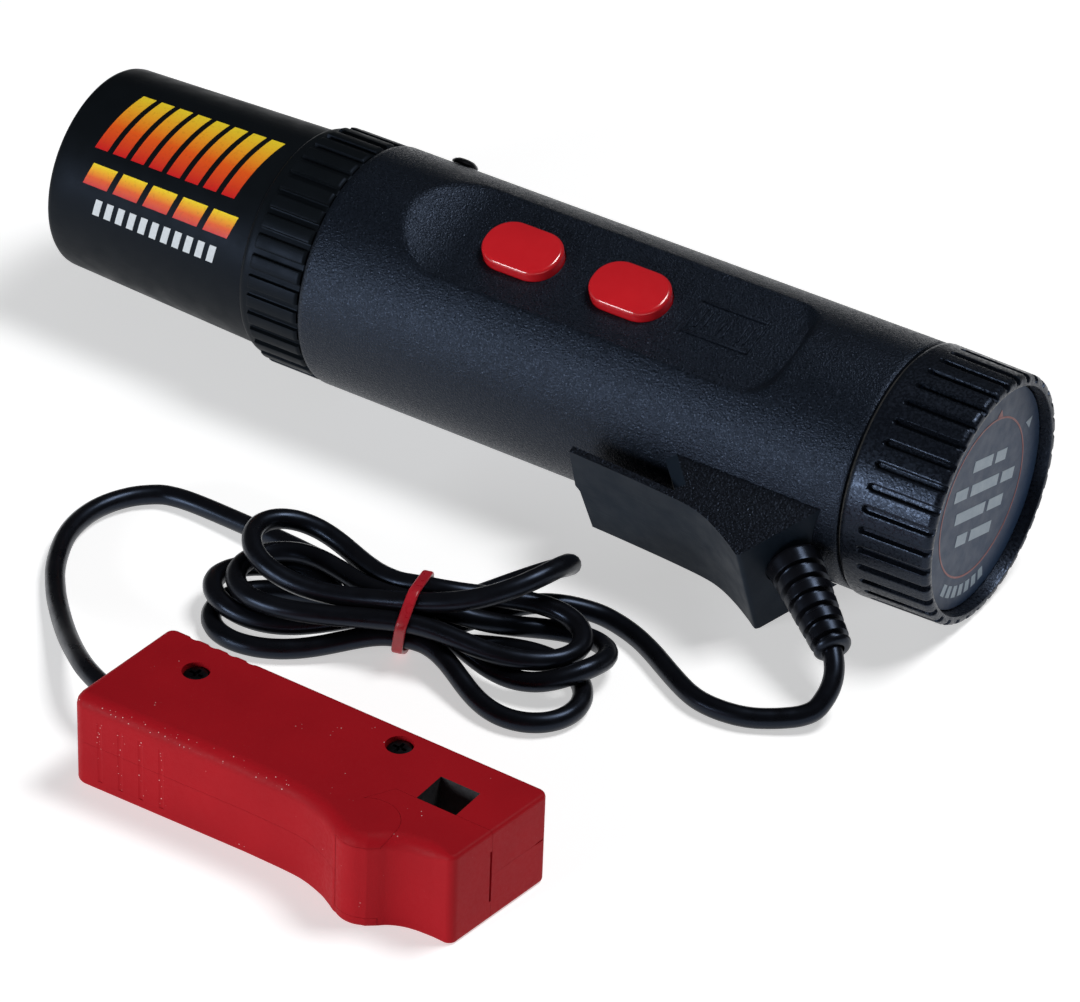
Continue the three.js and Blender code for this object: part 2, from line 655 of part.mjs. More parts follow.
function housingHalf(low, high) {
  const isTop = low > 0;
  const full = prism(housingOutline(), low, high);
  const floor = 2.2;
  const ears = isTop
    ? knucklePost(high - EAR, high + 1, KNUCKLE_R + 0.5)
    : knucklePost(low - 1, low + EAR, KNUCKLE_R + 0.5);
  const pinHole = isTop
    ? knucklePost(high - EAR - 1, high - 1.1, 1.65, 12)
    : knucklePost(low + 1.1, low + EAR + 1, 1.65, 12);
  const hollow = block([3.2, 57], [-26, -2.6], isTop ? [low - 1, high - floor] : [floor, high + 1]);
  const windowHole = block(
    [WINDOW.near, WINDOW.far],
    [-WINDOW.front - 0.2, -WINDOW.back],
    [low - 1, high + 1],
  );
  const tall = isTop ? [low - 1, 17.2] : [5.1, high + 1];
  const legs = isTop ? [low - 1, 15.8] : [6.5, high + 1];
  const coilPocket = block([74.3, 83.2], [-8.3, -2.0], tall);
  const backPocket = block([69.1, 88.4], [-6.9, -3.3], legs);
  const legPockets = [[69.1, 73.1], [84.4, 88.4]].map((span) => block(span, [-WINDOW.front - 0.2, -5], legs));
  const entry = rod(-4, 5, 4.3, 24).translate([0, -CORD_ENTRY, CLAMP_SPLIT]);
  const notches = [6.5, 11.3, 16.1, 20.9].map((x) => post(x, 1.1, low - 1, high + 1, 2.0, 12));
  let shell = cut(full, hollow, windowHole, coilPocket, backPocket, ...legPockets, entry, ...notches);
  shell = shell.subtract(jawRegion(GAP, low - 1, high + 1).subtract(ears)).subtract(pinHole);
  shell = fuse(shell, post(CLAMP_SCREWS[0][0], -CLAMP_SCREWS[0][1], low + 0.5, high - 0.5, 4.4, 20));
  for (const [x, across] of CLAMP_SCREWS) {
    const bore = isTop ? post(x, -across, low - 1, high + 1, 1.65, 12) : post(x, -across, 4, high + 1, 1.65, 12);
    shell = shell.subtract(bore);
    if (isTop) shell = shell.subtract(post(x, -across, CLAMP_HEIGHT - 3.3, high + 1, 3.0, 24));
  }
  return shell;
}

function pickupJaw() {
  const blank = prism(housingOutline(), 0.2, CLAMP_HEIGHT - 0.2).intersect(jawRegion(0, 0, CLAMP_HEIGHT));
  const clearance = KNUCKLE_R + 0.5 + GAP;
  return cut(
    blank,
    knucklePost(-1, EAR + GAP, clearance),
    knucklePost(CLAMP_HEIGHT - EAR - GAP, CLAMP_HEIGHT + 1, clearance),
    knucklePost(0, CLAMP_HEIGHT, 1.65, 12),
    knucklePost(8.2, 14.1, 5.0, 20),
    block([70.4, 87.2], [-21.2, -WINDOW.front + 1], [6.7, 15.6]),
  );
}

function ferriteYoke() {
  const back = block([69.4, 88.1], [-6.6, -3.6], [6.8, 15.5]);
  const legs = [[69.4, 72.8], [84.7, 88.1]].map((span) => block(span, [-WINDOW.front + 0.35, -5], [6.8, 15.5]));
  return fuse(back, ...legs);
}

function pickupCoil() {
  const wound = block([74.6, 82.9], [-8.0, -2.3], [5.4, 16.9]);
  return wound.subtract(block([70, 90], [-6.9, -3.3], [6.5, 15.8]));
}

function clampScrew([x, across]) {
  const seat = CLAMP_HEIGHT - 3.1;
  const head = post(x, -across, seat, seat + 2.0, 2.75, 20);
  const cross = [0, 90].map((turn) =>
    block([-1.6, 1.6], [-0.35, 0.35], [seat + 1.1, seat + 3]).rotate([0, 0, turn]).translate([x, -across, 0]),
  );
  return cut(fuse(head, post(x, -across, 4.6, seat + 0.5, 1.35, 12)), ...cross);
}

const CORD_ENTRY = 13.6; // across from the clamp's back
function cordBushing() {
  const outline = [
    [-3.0, CORD_R + 0.3],
    [-3.0, 4.6],
    [-2.1, 5.2],
    [-2.1, 4.0],
    [4.6, 4.0],
    [4.6, CORD_R + 0.3],
  ];
  return turned(outline, 24).translate([0, -CORD_ENTRY, CLAMP_SPLIT]);
}

place(clamp, "pickup_case_bottom", housingHalf(0, CLAMP_SPLIT - 0.1), "clamp_red");
place(clamp, "pickup_case_top", housingHalf(CLAMP_SPLIT + 0.1, CLAMP_HEIGHT), "clamp_red");
place(clamp, "pickup_jaw", pickupJaw(), "clamp_red");
place(clamp, "jaw_pin", knucklePost(1.4, CLAMP_HEIGHT - 1.4, 1.4, 12), "steel");
place(clamp, "jaw_spring", coilSpring(KX, -KY, 3.2, 8.9, 13.4, 3, 0.45), "steel");
place(clamp, "ferrite_yoke", ferriteYoke(), "ferrite");
place(clamp, "ferrite_bar", block([70.7, 86.9], [-20.9, -WINDOW.front - 0.3], [7.0, 15.3]), "ferrite");
place(clamp, "pickup_coil", pickupCoil(), "copper");
CLAMP_SCREWS.forEach((spot, i) => place(clamp, "pickup_screw_" + (i + 1), clampScrew(spot), "black_steel"));
place(clamp, "cord_bushing", cordBushing(), "seal_black");

// ---- The lead -----------------------------------------------------------------------------------------------

const point = (x, y, z) => new THREE.Vector3(x, y, z);
const smooth = (points) => new THREE.CatmullRomCurve3(points.map((p) => point(...p)), false, "centripetal");

const LEAD_FROM_TOOL = [
  [87.3, 36.7, 19.3],
  [93.2, 32.4, 17.1],
  [99.6, 27.7, 14.6],
  [105.2, 23.3, 12.2],
  [108.3, 19.4, 9.4],
  [109.0, 15.2, 6.2],
  [107.4, 11.0, 3.6],
  [100.9, 6.2, 2.5],
  [94.0, 3.2, 2.4],
  [85.0, 3.2, 2.4],
  [75.6, 7.6, 2.4],
  [68.0, 12.6, 2.6],
  [61.6, 16.2, 3.8],
  [55.6, 17.0, 6.0],
  [50.6, 15.6, 8.3],
];

const LEAD_TO_CLAMP = [
  [-22.5, -1.6, 8.6],
  [-27.8, -0.6, 7.2],
  [-34.2, 0.7, 4.8],
  [-41.5, 1.2, 2.9],
  [-49.2, 0.0, 2.4],
  [-56.0, -5.4, 2.4],
  [-59.8, -14.2, 2.4],
  [-59.3, -24.6, 2.4],
  [-54.6, -35.2, 2.4],
  [-48.6, -43.4, 2.6],
  [-42.0, -50.6, 3.6],
  [-35.0, -57.6, 5.4],
  [-27.6, -64.4, 7.9],
  [-20.0, -70.4, 10.1],
  [-12.5, -74.2, 11.1],
  [-6.0, -75.1, 11.15],
  [2.0, -75.2, 11.15],
];

// The hank: its loops seen as one body with two lobes and a waist under the tie.
function hank() {
  const rings = [];
  const stations = 14;
  for (let i = 0; i <= stations; i++) {
    const t = -1 + (2 * i) / stations;
    const u = HANK_HALF * Math.sin((Math.PI / 2) * t);
    const taper = Math.sqrt(Math.max(0.06, 1 - t ** 8));
    const half = (HANK_WAIST + HANK_LOBE * Math.sin(Math.PI * Math.abs(u / HANK_HALF)) ** 1.3) * taper;
    const lobe = Math.min(1, Math.abs(u) / 12);
    const [low, high] = [1.9 - 1.5 * lobe, 17.3 + 1.5 * lobe];
    const middle = (low + high) / 2;
    const tall = ((high - low) / 2) * (0.75 + 0.25 * taper);
    const ring = arc([0, 0], 1, 0, 360 - 360 / 14, 13).map(([c, s]) => {
      const bow = HANK_BOW * (1 - (u / HANK_HALF) ** 2);
      return point(u, bow + half * c, middle + tall * s);
    });
    rings.push(ring);
  }
  return skin(rings);
}

// A flat band pulled round the waist.
function hankTie() {
  const steps = 26;
  const ring = (across, up, half) =>
    prism(
      Array.from({ length: steps }, (_, i) => {
        const angle = (2 * Math.PI * i) / steps;
        return [across * Math.cos(angle), up * Math.sin(angle)];
      }),
      -half,
      half,
    );
  const band = ring(HANK_WAIST + 2.1, 9.5, 1.3).subtract(ring(HANK_WAIST + 1.0, 8.35, 2));
  return band.rotate([90, 0, 0]).rotate([0, 0, 90]).translate([0, HANK_BOW, 9.6]);
}

place(timingLight, "cord_to_hank", wire(smooth(LEAD_FROM_TOOL), CORD_R, 40, 6), "cord_black");
place(hankFrame, "cord_hank", hank(), "cord_black");
place(hankFrame, "hank_tie", hankTie(), "tie_red");
place(timingLight, "cord_to_clamp", wire(smooth(LEAD_TO_CLAMP), CORD_R, 42, 6), "cord_black");

export default timingLight;
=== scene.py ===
"""The looks of a self-powered ignition timing light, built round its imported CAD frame."""
import json
import math

import bmesh
import bpy
import numpy as np
from mathutils import Matrix, Vector


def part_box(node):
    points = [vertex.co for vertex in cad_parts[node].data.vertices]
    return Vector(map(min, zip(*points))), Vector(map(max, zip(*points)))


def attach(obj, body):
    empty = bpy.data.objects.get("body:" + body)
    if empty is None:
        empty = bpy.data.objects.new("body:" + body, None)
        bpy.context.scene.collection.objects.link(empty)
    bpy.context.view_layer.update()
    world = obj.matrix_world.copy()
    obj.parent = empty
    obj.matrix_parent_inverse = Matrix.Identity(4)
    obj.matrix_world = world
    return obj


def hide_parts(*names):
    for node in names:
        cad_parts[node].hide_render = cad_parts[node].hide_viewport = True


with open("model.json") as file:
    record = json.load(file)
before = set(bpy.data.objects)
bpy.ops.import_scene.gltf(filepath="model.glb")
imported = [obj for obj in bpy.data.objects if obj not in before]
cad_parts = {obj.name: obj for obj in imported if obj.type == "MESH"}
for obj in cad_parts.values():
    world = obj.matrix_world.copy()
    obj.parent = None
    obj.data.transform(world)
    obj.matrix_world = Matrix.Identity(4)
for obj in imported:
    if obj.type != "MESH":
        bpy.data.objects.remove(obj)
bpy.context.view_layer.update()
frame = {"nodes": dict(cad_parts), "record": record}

MM = 0.001
rad = math.radians


def turn(degrees, axis):
    return Matrix.Rotation(rad(degrees), 4, axis)


def move(x, y, z):
    """A shift in millimetres."""
    return Matrix.Translation((x * MM, y * MM, z * MM))


# ---- Places, from the frame ----
# Each piece is drawn in millimetres in the frame of the part it belongs to.

cap_low, cap_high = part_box("rear_cap")
LENS_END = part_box("lens_barrel")[0].x
AXIS = Vector((0, (cap_low.y + cap_high.y) / 2, (cap_low.z + cap_high.z) / 2))
TOOL_LENGTH = (cap_high.x - LENS_END) / MM

TOOL = Matrix.Translation((LENS_END, AXIS.y, AXIS.z))
RECESS = TOOL @ turn(17.5, "X")  # +Z is square to the button recess
BRACKET = TOOL @ turn(22, "X")  # -Y points straight out through the bracket
CLAMP = move(-4.7, -61.36, 0) @ turn(-0.8, "Z")
HANK = move(24.6, -16.8, 0) @ turn(15, "Z")

# ---- Driving dimensions, in millimetres ----

COLLAR_START = 56.2  # stations run along the tool's axis from the lens end
BODY_START = 72.9
BODY_END = 212.75
CAP_START = 213.45
BODY_R = 28.5
BORE_R = 26.3
CAP_R = 28.9
COLLAR_R = 28.3
BARREL_FRONT_R = 24.1
BARREL_REAR_R = 26.0
RECESS_FLOOR = 24.75
RECESS_ENDS = (90.8, 191.0)
RECESS_HALF = 16.4
RECESS_WALL = 2.2
SCOOP_LENGTH = 15.0
BORE_DIP = (94.25, 186.25)  # between these stations the bore is flat under the pocket
BUTTON_STATIONS = (119.2, 147.0)
BUTTON_SIZE = (19.0, 13.0)
BUTTON_TOP = 27.9
LABEL_DEPTH = 2.8
RIBS = 36  # the collar's ribs, and the cap's grooves
RIB_HEIGHT = 1.05
CORD_D = 4.5
CORD_R = CORD_D / 2
CLAMP_LENGTH = 94.3
CLAMP_DEPTH = 29.4
CLAMP_HEIGHT = 22.3
CLAMP_SPLIT = 11.15
KNUCKLE = (69.8, 29.0)
KNUCKLE_R = 6.4
WINDOW = {"near": 74.0, "far": 83.5, "back": 8.9, "front": 17.5}
CLAMP_SLANT = 2.8  # how far the cord's end of the clamp leans out
CLAMP_SCREWS = ((13.4, 9.4), (61.4, 5.3))
CORD_ENTRY = 13.6  # the cord's distance from the clamp's back


# ---- Camera ----

def add_object(name, data):
    obj = bpy.data.objects.new(name, data)
    bpy.context.collection.objects.link(obj)
    return obj


def make_camera():
    azimuth, elevation, roll = rad(31.58), rad(34.96), rad(2.18)
    distance = 1.1656
    target = Vector((0.0315, 0.0238, 0.02))
    back = Vector((
        math.sin(azimuth) * math.cos(elevation),
        -math.cos(azimuth) * math.cos(elevation),
        math.sin(elevation),
    ))
    data = bpy.data.cameras.new("camera")
    data.lens = 180.13
    data.sensor_width = 36
    data.clip_end = 20
    camera = add_object("camera", data)
    camera.location = target + back * distance
    aim = (-back).to_track_quat("-Z", "Y").to_matrix() @ Matrix.Rotation(roll, 3, "Z")
    camera.rotation_euler = aim.to_euler()
    bpy.context.scene.camera = camera


# ---- Mesh tools ----

def add_mesh(name, points, faces, placing, down=None):
    """A new object from points in millimetres in a part's frame, welded and with its faces turned out.
    down may give each point a value for the material to read."""
    mesh = bpy.data.meshes.new(name)
    mesh.from_pydata([tuple(map(float, p)) for p in points], [], faces)
    if down is not None:
        mesh.attributes.new("down", "FLOAT", "POINT").data.foreach_set("value", down)
    bm = bmesh.new()
    bm.from_mesh(mesh)
    bmesh.ops.remove_doubles(bm, verts=bm.verts, dist=1e-4)
    bmesh.ops.recalc_face_normals(bm, faces=bm.faces)
    bm.to_mesh(mesh)
    bm.free()
    mesh.transform(placing @ Matrix.Scale(MM, 4))
    return add_object(name, mesh)


def baked(obj):
    """Applies an object's modifiers."""
    depsgraph = bpy.context.evaluated_depsgraph_get()
    mesh = bpy.data.meshes.new_from_object(obj.evaluated_get(depsgraph))
    obj.modifiers.clear()
    obj.data = mesh
    return obj


def combine(operation, obj, *others):
    for other in others:
        modifier = obj.modifiers.new("solid", "BOOLEAN")
        modifier.operation = operation
        modifier.solver = "EXACT"
        modifier.object = other
    baked(obj)
    for other in others:
        bpy.data.objects.remove(other)
    return obj


def cut(obj, *cutters):
    return combine("DIFFERENCE", obj, *cutters)


def joined(name, parts):
    """One object that holds the meshes of several, which it takes the place of."""
    bm = bmesh.new()
    for part in parts:
        bm.from_mesh(part.data)
        bpy.data.objects.remove(part)
    mesh = bpy.data.meshes.new(name)
    bm.to_mesh(mesh)
    bm.free()
    return add_object(name, mesh)


def round_edges(obj, width, segments=3, angle=32):
    modifier = obj.modifiers.new("edges", "BEVEL")
    modifier.width = width * MM
    modifier.segments = segments
    modifier.limit_method = "ANGLE"
    modifier.angle_limit = rad(angle)
    modifier.miter_outer = "MITER_ARC"
    return baked(obj)


def shade(obj, angle=32):
    obj.data.shade_smooth()
    obj.data.set_sharp_from_angle(angle=rad(angle))
    return obj


def flat_shade(obj):
    """Smooth shading that keeps broad flat faces flat."""
    shade(obj, 38)
    modifier = obj.modifiers.new("normals", "WEIGHTED_NORMAL")
    modifier.keep_sharp = True
    return baked(obj)


def grid_faces(rows, columns, wrap_rows=False, wrap_columns=False):
    """Quads over a grid of points that is stored row by row."""
    faces = []
    for i in range(rows if wrap_rows else rows - 1):
        for j in range(columns if wrap_columns else columns - 1):
            a, b = i * columns, ((i + 1) % rows) * columns
            k = (j + 1) % columns
            faces.append((a + j, a + k, b + k, b + j))
    return faces


def even_turn(segments):
    return np.arange(segments) * 2 * math.pi / segments


def revolve(name, outline, placing, angles, radius_at=None, closed=False):
    """Turns an outline of (station, radius) points about the X axis, through given angles or a number of even
    ones. radius_at may shape it round the turn."""
    if isinstance(angles, int):
        angles = even_turn(angles)
    stations, radius = (np.repeat(column[:, None], len(angles), 1) for column in np.array(outline, float).T)
    if radius_at is not None:
        radius = radius_at(stations[:, :1], angles[None, :], radius)
    points = np.stack([stations, -radius * np.sin(angles), radius * np.cos(angles)], -1)
    faces = grid_faces(len(outline), len(angles), closed, True)
    return add_mesh(name, points.reshape(-1, 3), faces, placing)


def rod(name, start, end, radius, placing, segments=48):
    return revolve(name, [(start, 0), (start, radius), (end, radius), (end, 0)], placing, segments)


def post(name, x, y, low, high, radius, placing, segments=48):
    """A rod that stands along Z."""
    return rod(name, low, high, radius, placing @ move(x, y, 0) @ turn(-90, "Y"), segments)


def prism(name, outline, low, high, placing):
    count = len(outline)
    points = [(x, y, z) for z in (low, high) for x, y in outline]
    sides = [(i, (i + 1) % count, count + (i + 1) % count, count + i) for i in range(count)]
    caps = [tuple(range(count)), tuple(range(2 * count - 1, count - 1, -1))]
    return add_mesh(name, points, sides + caps, placing)


def block(name, x, y, z, placing):
    corners = [(x[0], y[0]), (x[1], y[0]), (x[1], y[1]), (x[0], y[1])]
    return prism(name, corners, z[0], z[1], placing)


def arc(centre, radius, start, end, steps):
    angles = np.radians(np.linspace(start, end, steps + 1))
    return [(centre[0] + radius * math.cos(a), centre[1] + radius * math.sin(a)) for a in angles]


def rounded_rectangle(x, y, length, width, radius, steps=10):
    dx, dy = length / 2 - radius, width / 2 - radius
    return [
        *arc((x + dx, y + dy), radius, 0, 90, steps),
        *arc((x - dx, y + dy), radius, 90, 180, steps),
        *arc((x - dx, y - dy), radius, 180, 270, steps),
        *arc((x + dx, y - dy), radius, 270, 360, steps),
    ]


def smooth_line(points, steps):
    """A Catmull-Rom curve through points, with a number of steps between each two."""
    p = np.array(points, float)
    p = np.vstack([2 * p[0] - p[1], p, 2 * p[-1] - p[-2]])
    t = np.linspace(0, 1, steps, endpoint=False)[:, None]
    line = []
    for a, b, c, d in zip(p, p[1:], p[2:], p[3:]):
        second, third = 2 * a - 5 * b + 4 * c - d, 3 * b - a - 3 * c + d
        line.append(0.5 * (2 * b + (c - a) * t + second * t**2 + third * t**3))
    return np.vstack([*line, p[-2:-1]])


def smoothstep(low, high, value):
    t = np.clip((value - low) / (high - low), 0, 1)
    return t * t * (3 - 2 * t)


def done(obj, body, slot, *nodes, look=None):
    """Gives a piece its look and its body, and hides the CAD nodes that it stands for.
    The look is the one named after the slot, unless another is given."""
    obj.data.materials.clear()
    obj.data.materials.append(MATERIALS[look or slot])
    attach(obj, body)
    if nodes:
        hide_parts(*nodes)
    return obj


# ---- Materials ----

class Look:
    """A procedural material: one Principled shader and the nodes that feed it. Sizes are in millimetres."""

    def __init__(self, name, color, roughness, **sockets):
        self.material = bpy.data.materials.new(name)
        self.material.use_nodes = True
        self.tree = self.material.node_tree
        self.shader = self.tree.nodes["Principled BSDF"]
        self.shader.inputs["Base Color"].default_value = (*color, 1)
        self.shader.inputs["Roughness"].default_value = roughness
        for key, value in sockets.items():
            socket = key.replace("_", " ").title().replace("Ior", "IOR")
            self.shader.inputs[socket].default_value = value
        self.place = self.node("ShaderNodeTexCoord").outputs["Object"]
        self.normal = None

    def node(self, kind, **settings):
        made = self.tree.nodes.new(kind)
        for key, value in settings.items():
            if key in made.inputs:
                made.inputs[key].default_value = value
            else:
                setattr(made, key, value)
        return made

    def link(self, source, target):
        self.tree.links.new(source, target)

    def stretched(self, scale):
        mapping = self.node("ShaderNodeMapping", Scale=scale)
        self.link(self.place, mapping.inputs["Vector"])
        return mapping.outputs["Vector"]

    def texture(self, kind, size, vector=None, **settings):
        made = self.node("ShaderNodeTex" + kind, Scale=1 / (size * MM), **settings)
        self.link(vector or self.place, made.inputs["Vector"])
        return made.outputs

    def noise(self, size, detail, vector=None):
        return self.texture("Noise", size, vector, Detail=detail)["Fac"]

    def grains(self, size):
        return self.texture("Voronoi", size)["Distance"]

    def ramp(self, value, *stops):
        """stops are (position, grey level or colour)."""
        made = self.node("ShaderNodeValToRGB")
        elements = made.color_ramp.elements
        while len(elements) < len(stops):
            elements.new(0.5)
        for element, (position, colour) in zip(elements, stops):
            element.position = position
            element.color = (*colour, 1) if isinstance(colour, tuple) else (colour, colour, colour, 1)
        self.link(value, made.inputs["Fac"])
        return made.outputs["Color"]

    def mix(self, factor, a, b):
        made = self.node("ShaderNodeMix", data_type="RGBA")
        self.link(factor, made.inputs[0])
        for socket, value in ((made.inputs[6], a), (made.inputs[7], b)):
            if isinstance(value, tuple):
                socket.default_value = (*value, 1)
            else:
                self.link(value, socket)
        return made.outputs[2]

    def colour(self, value):
        self.link(value, self.shader.inputs["Base Color"])

    def rough(self, value):
        self.link(value, self.shader.inputs["Roughness"])

    def bump(self, height, depth):
        """Adds a bump over those already there."""
        made = self.node("ShaderNodeBump", Strength=1.0, Distance=depth * MM)
        self.link(height, made.inputs["Height"])
        if self.normal is not None:
            self.link(self.normal, made.inputs["Normal"])
        self.normal = made.outputs["Normal"]
        self.link(self.normal, self.shader.inputs["Normal"])

    def mottle(self, size, detail, dark, light):
        """Colour that wanders between two tones."""
        self.colour(self.mix(self.noise(size, detail), dark, light))

    def polish(self, size, detail, low, high, margin=0.3):
        """Roughness that wanders between two values."""
        self.rough(self.ramp(self.noise(size, detail), (margin, low), (1 - margin, high)))

    def dent(self, size, detail, depth):
        self.bump(self.noise(size, detail), depth)


BLUISH = (0.50, 0.66, 1.0, 1)  # the black plastic's sheen


def pebbled_plastic(name, light, grain, depth, roughness, dark=(0.003, 0.004, 0.006)):
    look = Look(name, light, roughness, specular_tint=BLUISH, specular_ior_level=0.32)
    look.mottle(14, 4, dark, light)
    look.polish(grain * 1.3, 2, roughness - 0.14, roughness + 0.12, 0.35)
    look.dent(grain, 1, depth)
    look.bump(look.grains(grain * 1.8), depth * 0.5)
    return look.material


def satin_plastic(name, colour, roughness, sheen_size=22):
    look = Look(name, colour, roughness, specular_tint=BLUISH, specular_ior_level=0.10)
    lighter = tuple(c * 1.4 + 0.001 for c in colour)
    look.mottle(sheen_size, 3, colour, lighter)
    look.polish(5, 6, roughness - 0.05, roughness + 0.09)
    look.dent(0.5, 2, 0.012)
    scratches = look.noise(1.2, 2, look.stretched((0.06, 1.2, 1.2)))
    look.bump(look.ramp(scratches, (0.62, 0.0), (0.66, 1.0)), 0.006)
    return look.material


def glossy_red():
    look = Look("button_red", (0.44, 0.010, 0.017), 0.2, coat_weight=0.6, coat_roughness=0.06)
    look.mottle(9, 2, (0.50, 0.008, 0.014), (0.62, 0.013, 0.020))
    look.polish(1.5, 4, 0.16, 0.27)
    look.dent(3.5, 1, 0.02)
    return look.material


def specked_red(name, specks_from, specks_full):
    look = Look(name, (0.30, 0.006, 0.011), 0.5, specular_ior_level=0.07)
    base = look.mix(look.noise(16, 4), (0.28, 0.005, 0.010), (0.38, 0.008, 0.014))
    # Pale specks: dust at random; in the denser look on the clamp's front upper edge they are a painted
    # highlight.
    specks = look.ramp(look.grains(0.9), (0.10, 1.0), (0.16, 0.0))
    where = look.ramp(look.noise(5, 3), (specks_from, 0.0), (specks_full, 1.0))
    dust_and_highlight_specks = look.node("ShaderNodeMath", operation="MULTIPLY")
    look.link(specks, dust_and_highlight_specks.inputs[0])
    look.link(where, dust_and_highlight_specks.inputs[1])
    look.colour(look.mix(dust_and_highlight_specks.outputs[0], base, (0.72, 0.52, 0.52)))
    look.polish(0.8, 4, 0.42, 0.60)
    look.dent(0.35, 2, 0.03)
    look.dent(2.5, 3, 0.02)
    return look.material


def cord_rubber():
    look = Look("cord_black", (0.004, 0.004, 0.005), 0.3, specular_tint=BLUISH, specular_ior_level=0.3)
    look.mottle(25, 3, (0.002, 0.002, 0.003), (0.005, 0.005, 0.006))
    look.polish(4, 5, 0.24, 0.38)
    look.dent(2.2, 3, 0.02)
    return look.material


def tie_rubber():
    look = Look("tie_red", (0.42, 0.010, 0.020), 0.3)
    look.mottle(3, 3, (0.32, 0.008, 0.016), (0.50, 0.014, 0.026))
    look.polish(1.5, 3, 0.24, 0.4)
    look.dent(0.9, 3, 0.04)
    return look.material


def plain_rubber():
    look = Look("seal_black", (0.012, 0.012, 0.012), 0.75)
    look.polish(1, 4, 0.65, 0.85)
    look.dent(0.4, 3, 0.02)
    return look.material


def label_film():
    look = Look("label_slate", (0.017, 0.032, 0.066), 0.42, specular_ior_level=0.2)
    look.mottle(0.5, 4, (0.013, 0.028, 0.060), (0.022, 0.042, 0.086))
    look.polish(3, 4, 0.34, 0.5)
    look.dent(0.3, 2, 0.012)
    return look.material


def ink(name, colour, faded):
    look = Look(name, colour, 0.4)
    look.mottle(0.6, 4, colour, faded)
    look.polish(2, 3, 0.32, 0.48)
    return look.material


def sunset_ink():
    """Yellow at the top of each bar through orange to red at its foot."""
    look = Look("sunset_ink", (0.8, 0.2, 0.02), 0.35, specular_ior_level=0.2)
    share = look.node("ShaderNodeAttribute", attribute_name="down")
    fade = look.ramp(
        share.outputs["Fac"],
        (0.0, (0.86, 0.66, 0.03)),
        (0.32, (0.83, 0.36, 0.02)),
        (0.62, (0.74, 0.10, 0.012)),
        (1.0, (0.56, 0.012, 0.016)),
    )
    look.colour(look.mix(look.ramp(look.noise(0.7, 4), (0.55, 0.0), (0.8, 0.35)), fade, (0.25, 0.05, 0.01)))
    look.polish(2, 3, 0.28, 0.42)
    return look.material


def clear_glass():
    look = Look("clear_glass", (0.93, 0.96, 0.98), 0.03, transmission_weight=1.0, ior=1.49)
    look.polish(8, 3, 0.015, 0.07)
    look.dent(6, 2, 0.01)
    return look.material


def metal(name, colour, roughness, grain=1.5):
    look = Look(name, colour, roughness, metallic=1.0)
    darker = tuple(c * 0.72 for c in colour)
    look.mottle(grain * 3, 4, darker, colour)
    look.polish(grain, 5, roughness - 0.05, roughness + 0.12)
    look.dent(grain * 0.3, 2, 0.008)
    return look.material


def wound_copper():
    look = Look("copper", (0.72, 0.30, 0.12), 0.3, metallic=0.9)
    turns_and_groove_shade = look.texture("Wave", 2.4, wave_type="BANDS", bands_direction="Z")["Fac"]
    # The colour darkens in the grooves between the turns: painted shade.
    look.colour(look.ramp(turns_and_groove_shade, (0.1, (0.20, 0.06, 0.02)), (0.6, (0.74, 0.32, 0.13))))
    look.bump(turns_and_groove_shade, 0.15)
    return look.material


def circuit_board():
    look = Look("board_green", (0.02, 0.12, 0.05), 0.4)
    mask, lighter, track = (0.016, 0.10, 0.045, 1), (0.022, 0.13, 0.055, 1), (0.05, 0.22, 0.09, 1)
    tracks = look.texture("Brick", 9, Color1=mask, Color2=lighter, Mortar=track)
    look.colour(tracks["Color"])
    look.polish(3, 3, 0.3, 0.5)
    look.bump(tracks["Fac"], 0.03)
    return look.material


def fired_ferrite():
    look = Look("ferrite", (0.035, 0.035, 0.038), 0.5, metallic=0.2)
    look.mottle(1.2, 5, (0.022, 0.022, 0.024), (0.055, 0.055, 0.060))
    look.polish(0.6, 3, 0.4, 0.65)
    look.dent(0.25, 3, 0.03)
    return look.material


def cell_jacket():
    """A printed sleeve with two plain bands along each cell."""
    look = Look("cell_jacket", (0.03, 0.08, 0.20), 0.32)
    bands = look.texture("Wave", 70, wave_type="BANDS", bands_direction="X")["Fac"]
    pale, deep, blue = (0.62, 0.63, 0.65), (0.025, 0.06, 0.16), (0.035, 0.09, 0.22)
    look.colour(look.ramp(bands, (0.42, deep), (0.46, pale), (0.56, pale), (0.60, blue)))
    look.polish(2, 4, 0.25, 0.42)
    look.dent(1, 3, 0.01)
    return look.material


def nylon():
    look = Look("nylon_white", (0.66, 0.63, 0.55), 0.5, subsurface_weight=0.08)
    look.mottle(7, 4, (0.60, 0.57, 0.49), (0.72, 0.69, 0.61))
    look.polish(1.2, 4, 0.42, 0.6)
    look.dent(0.6, 3, 0.015)
    return look.material


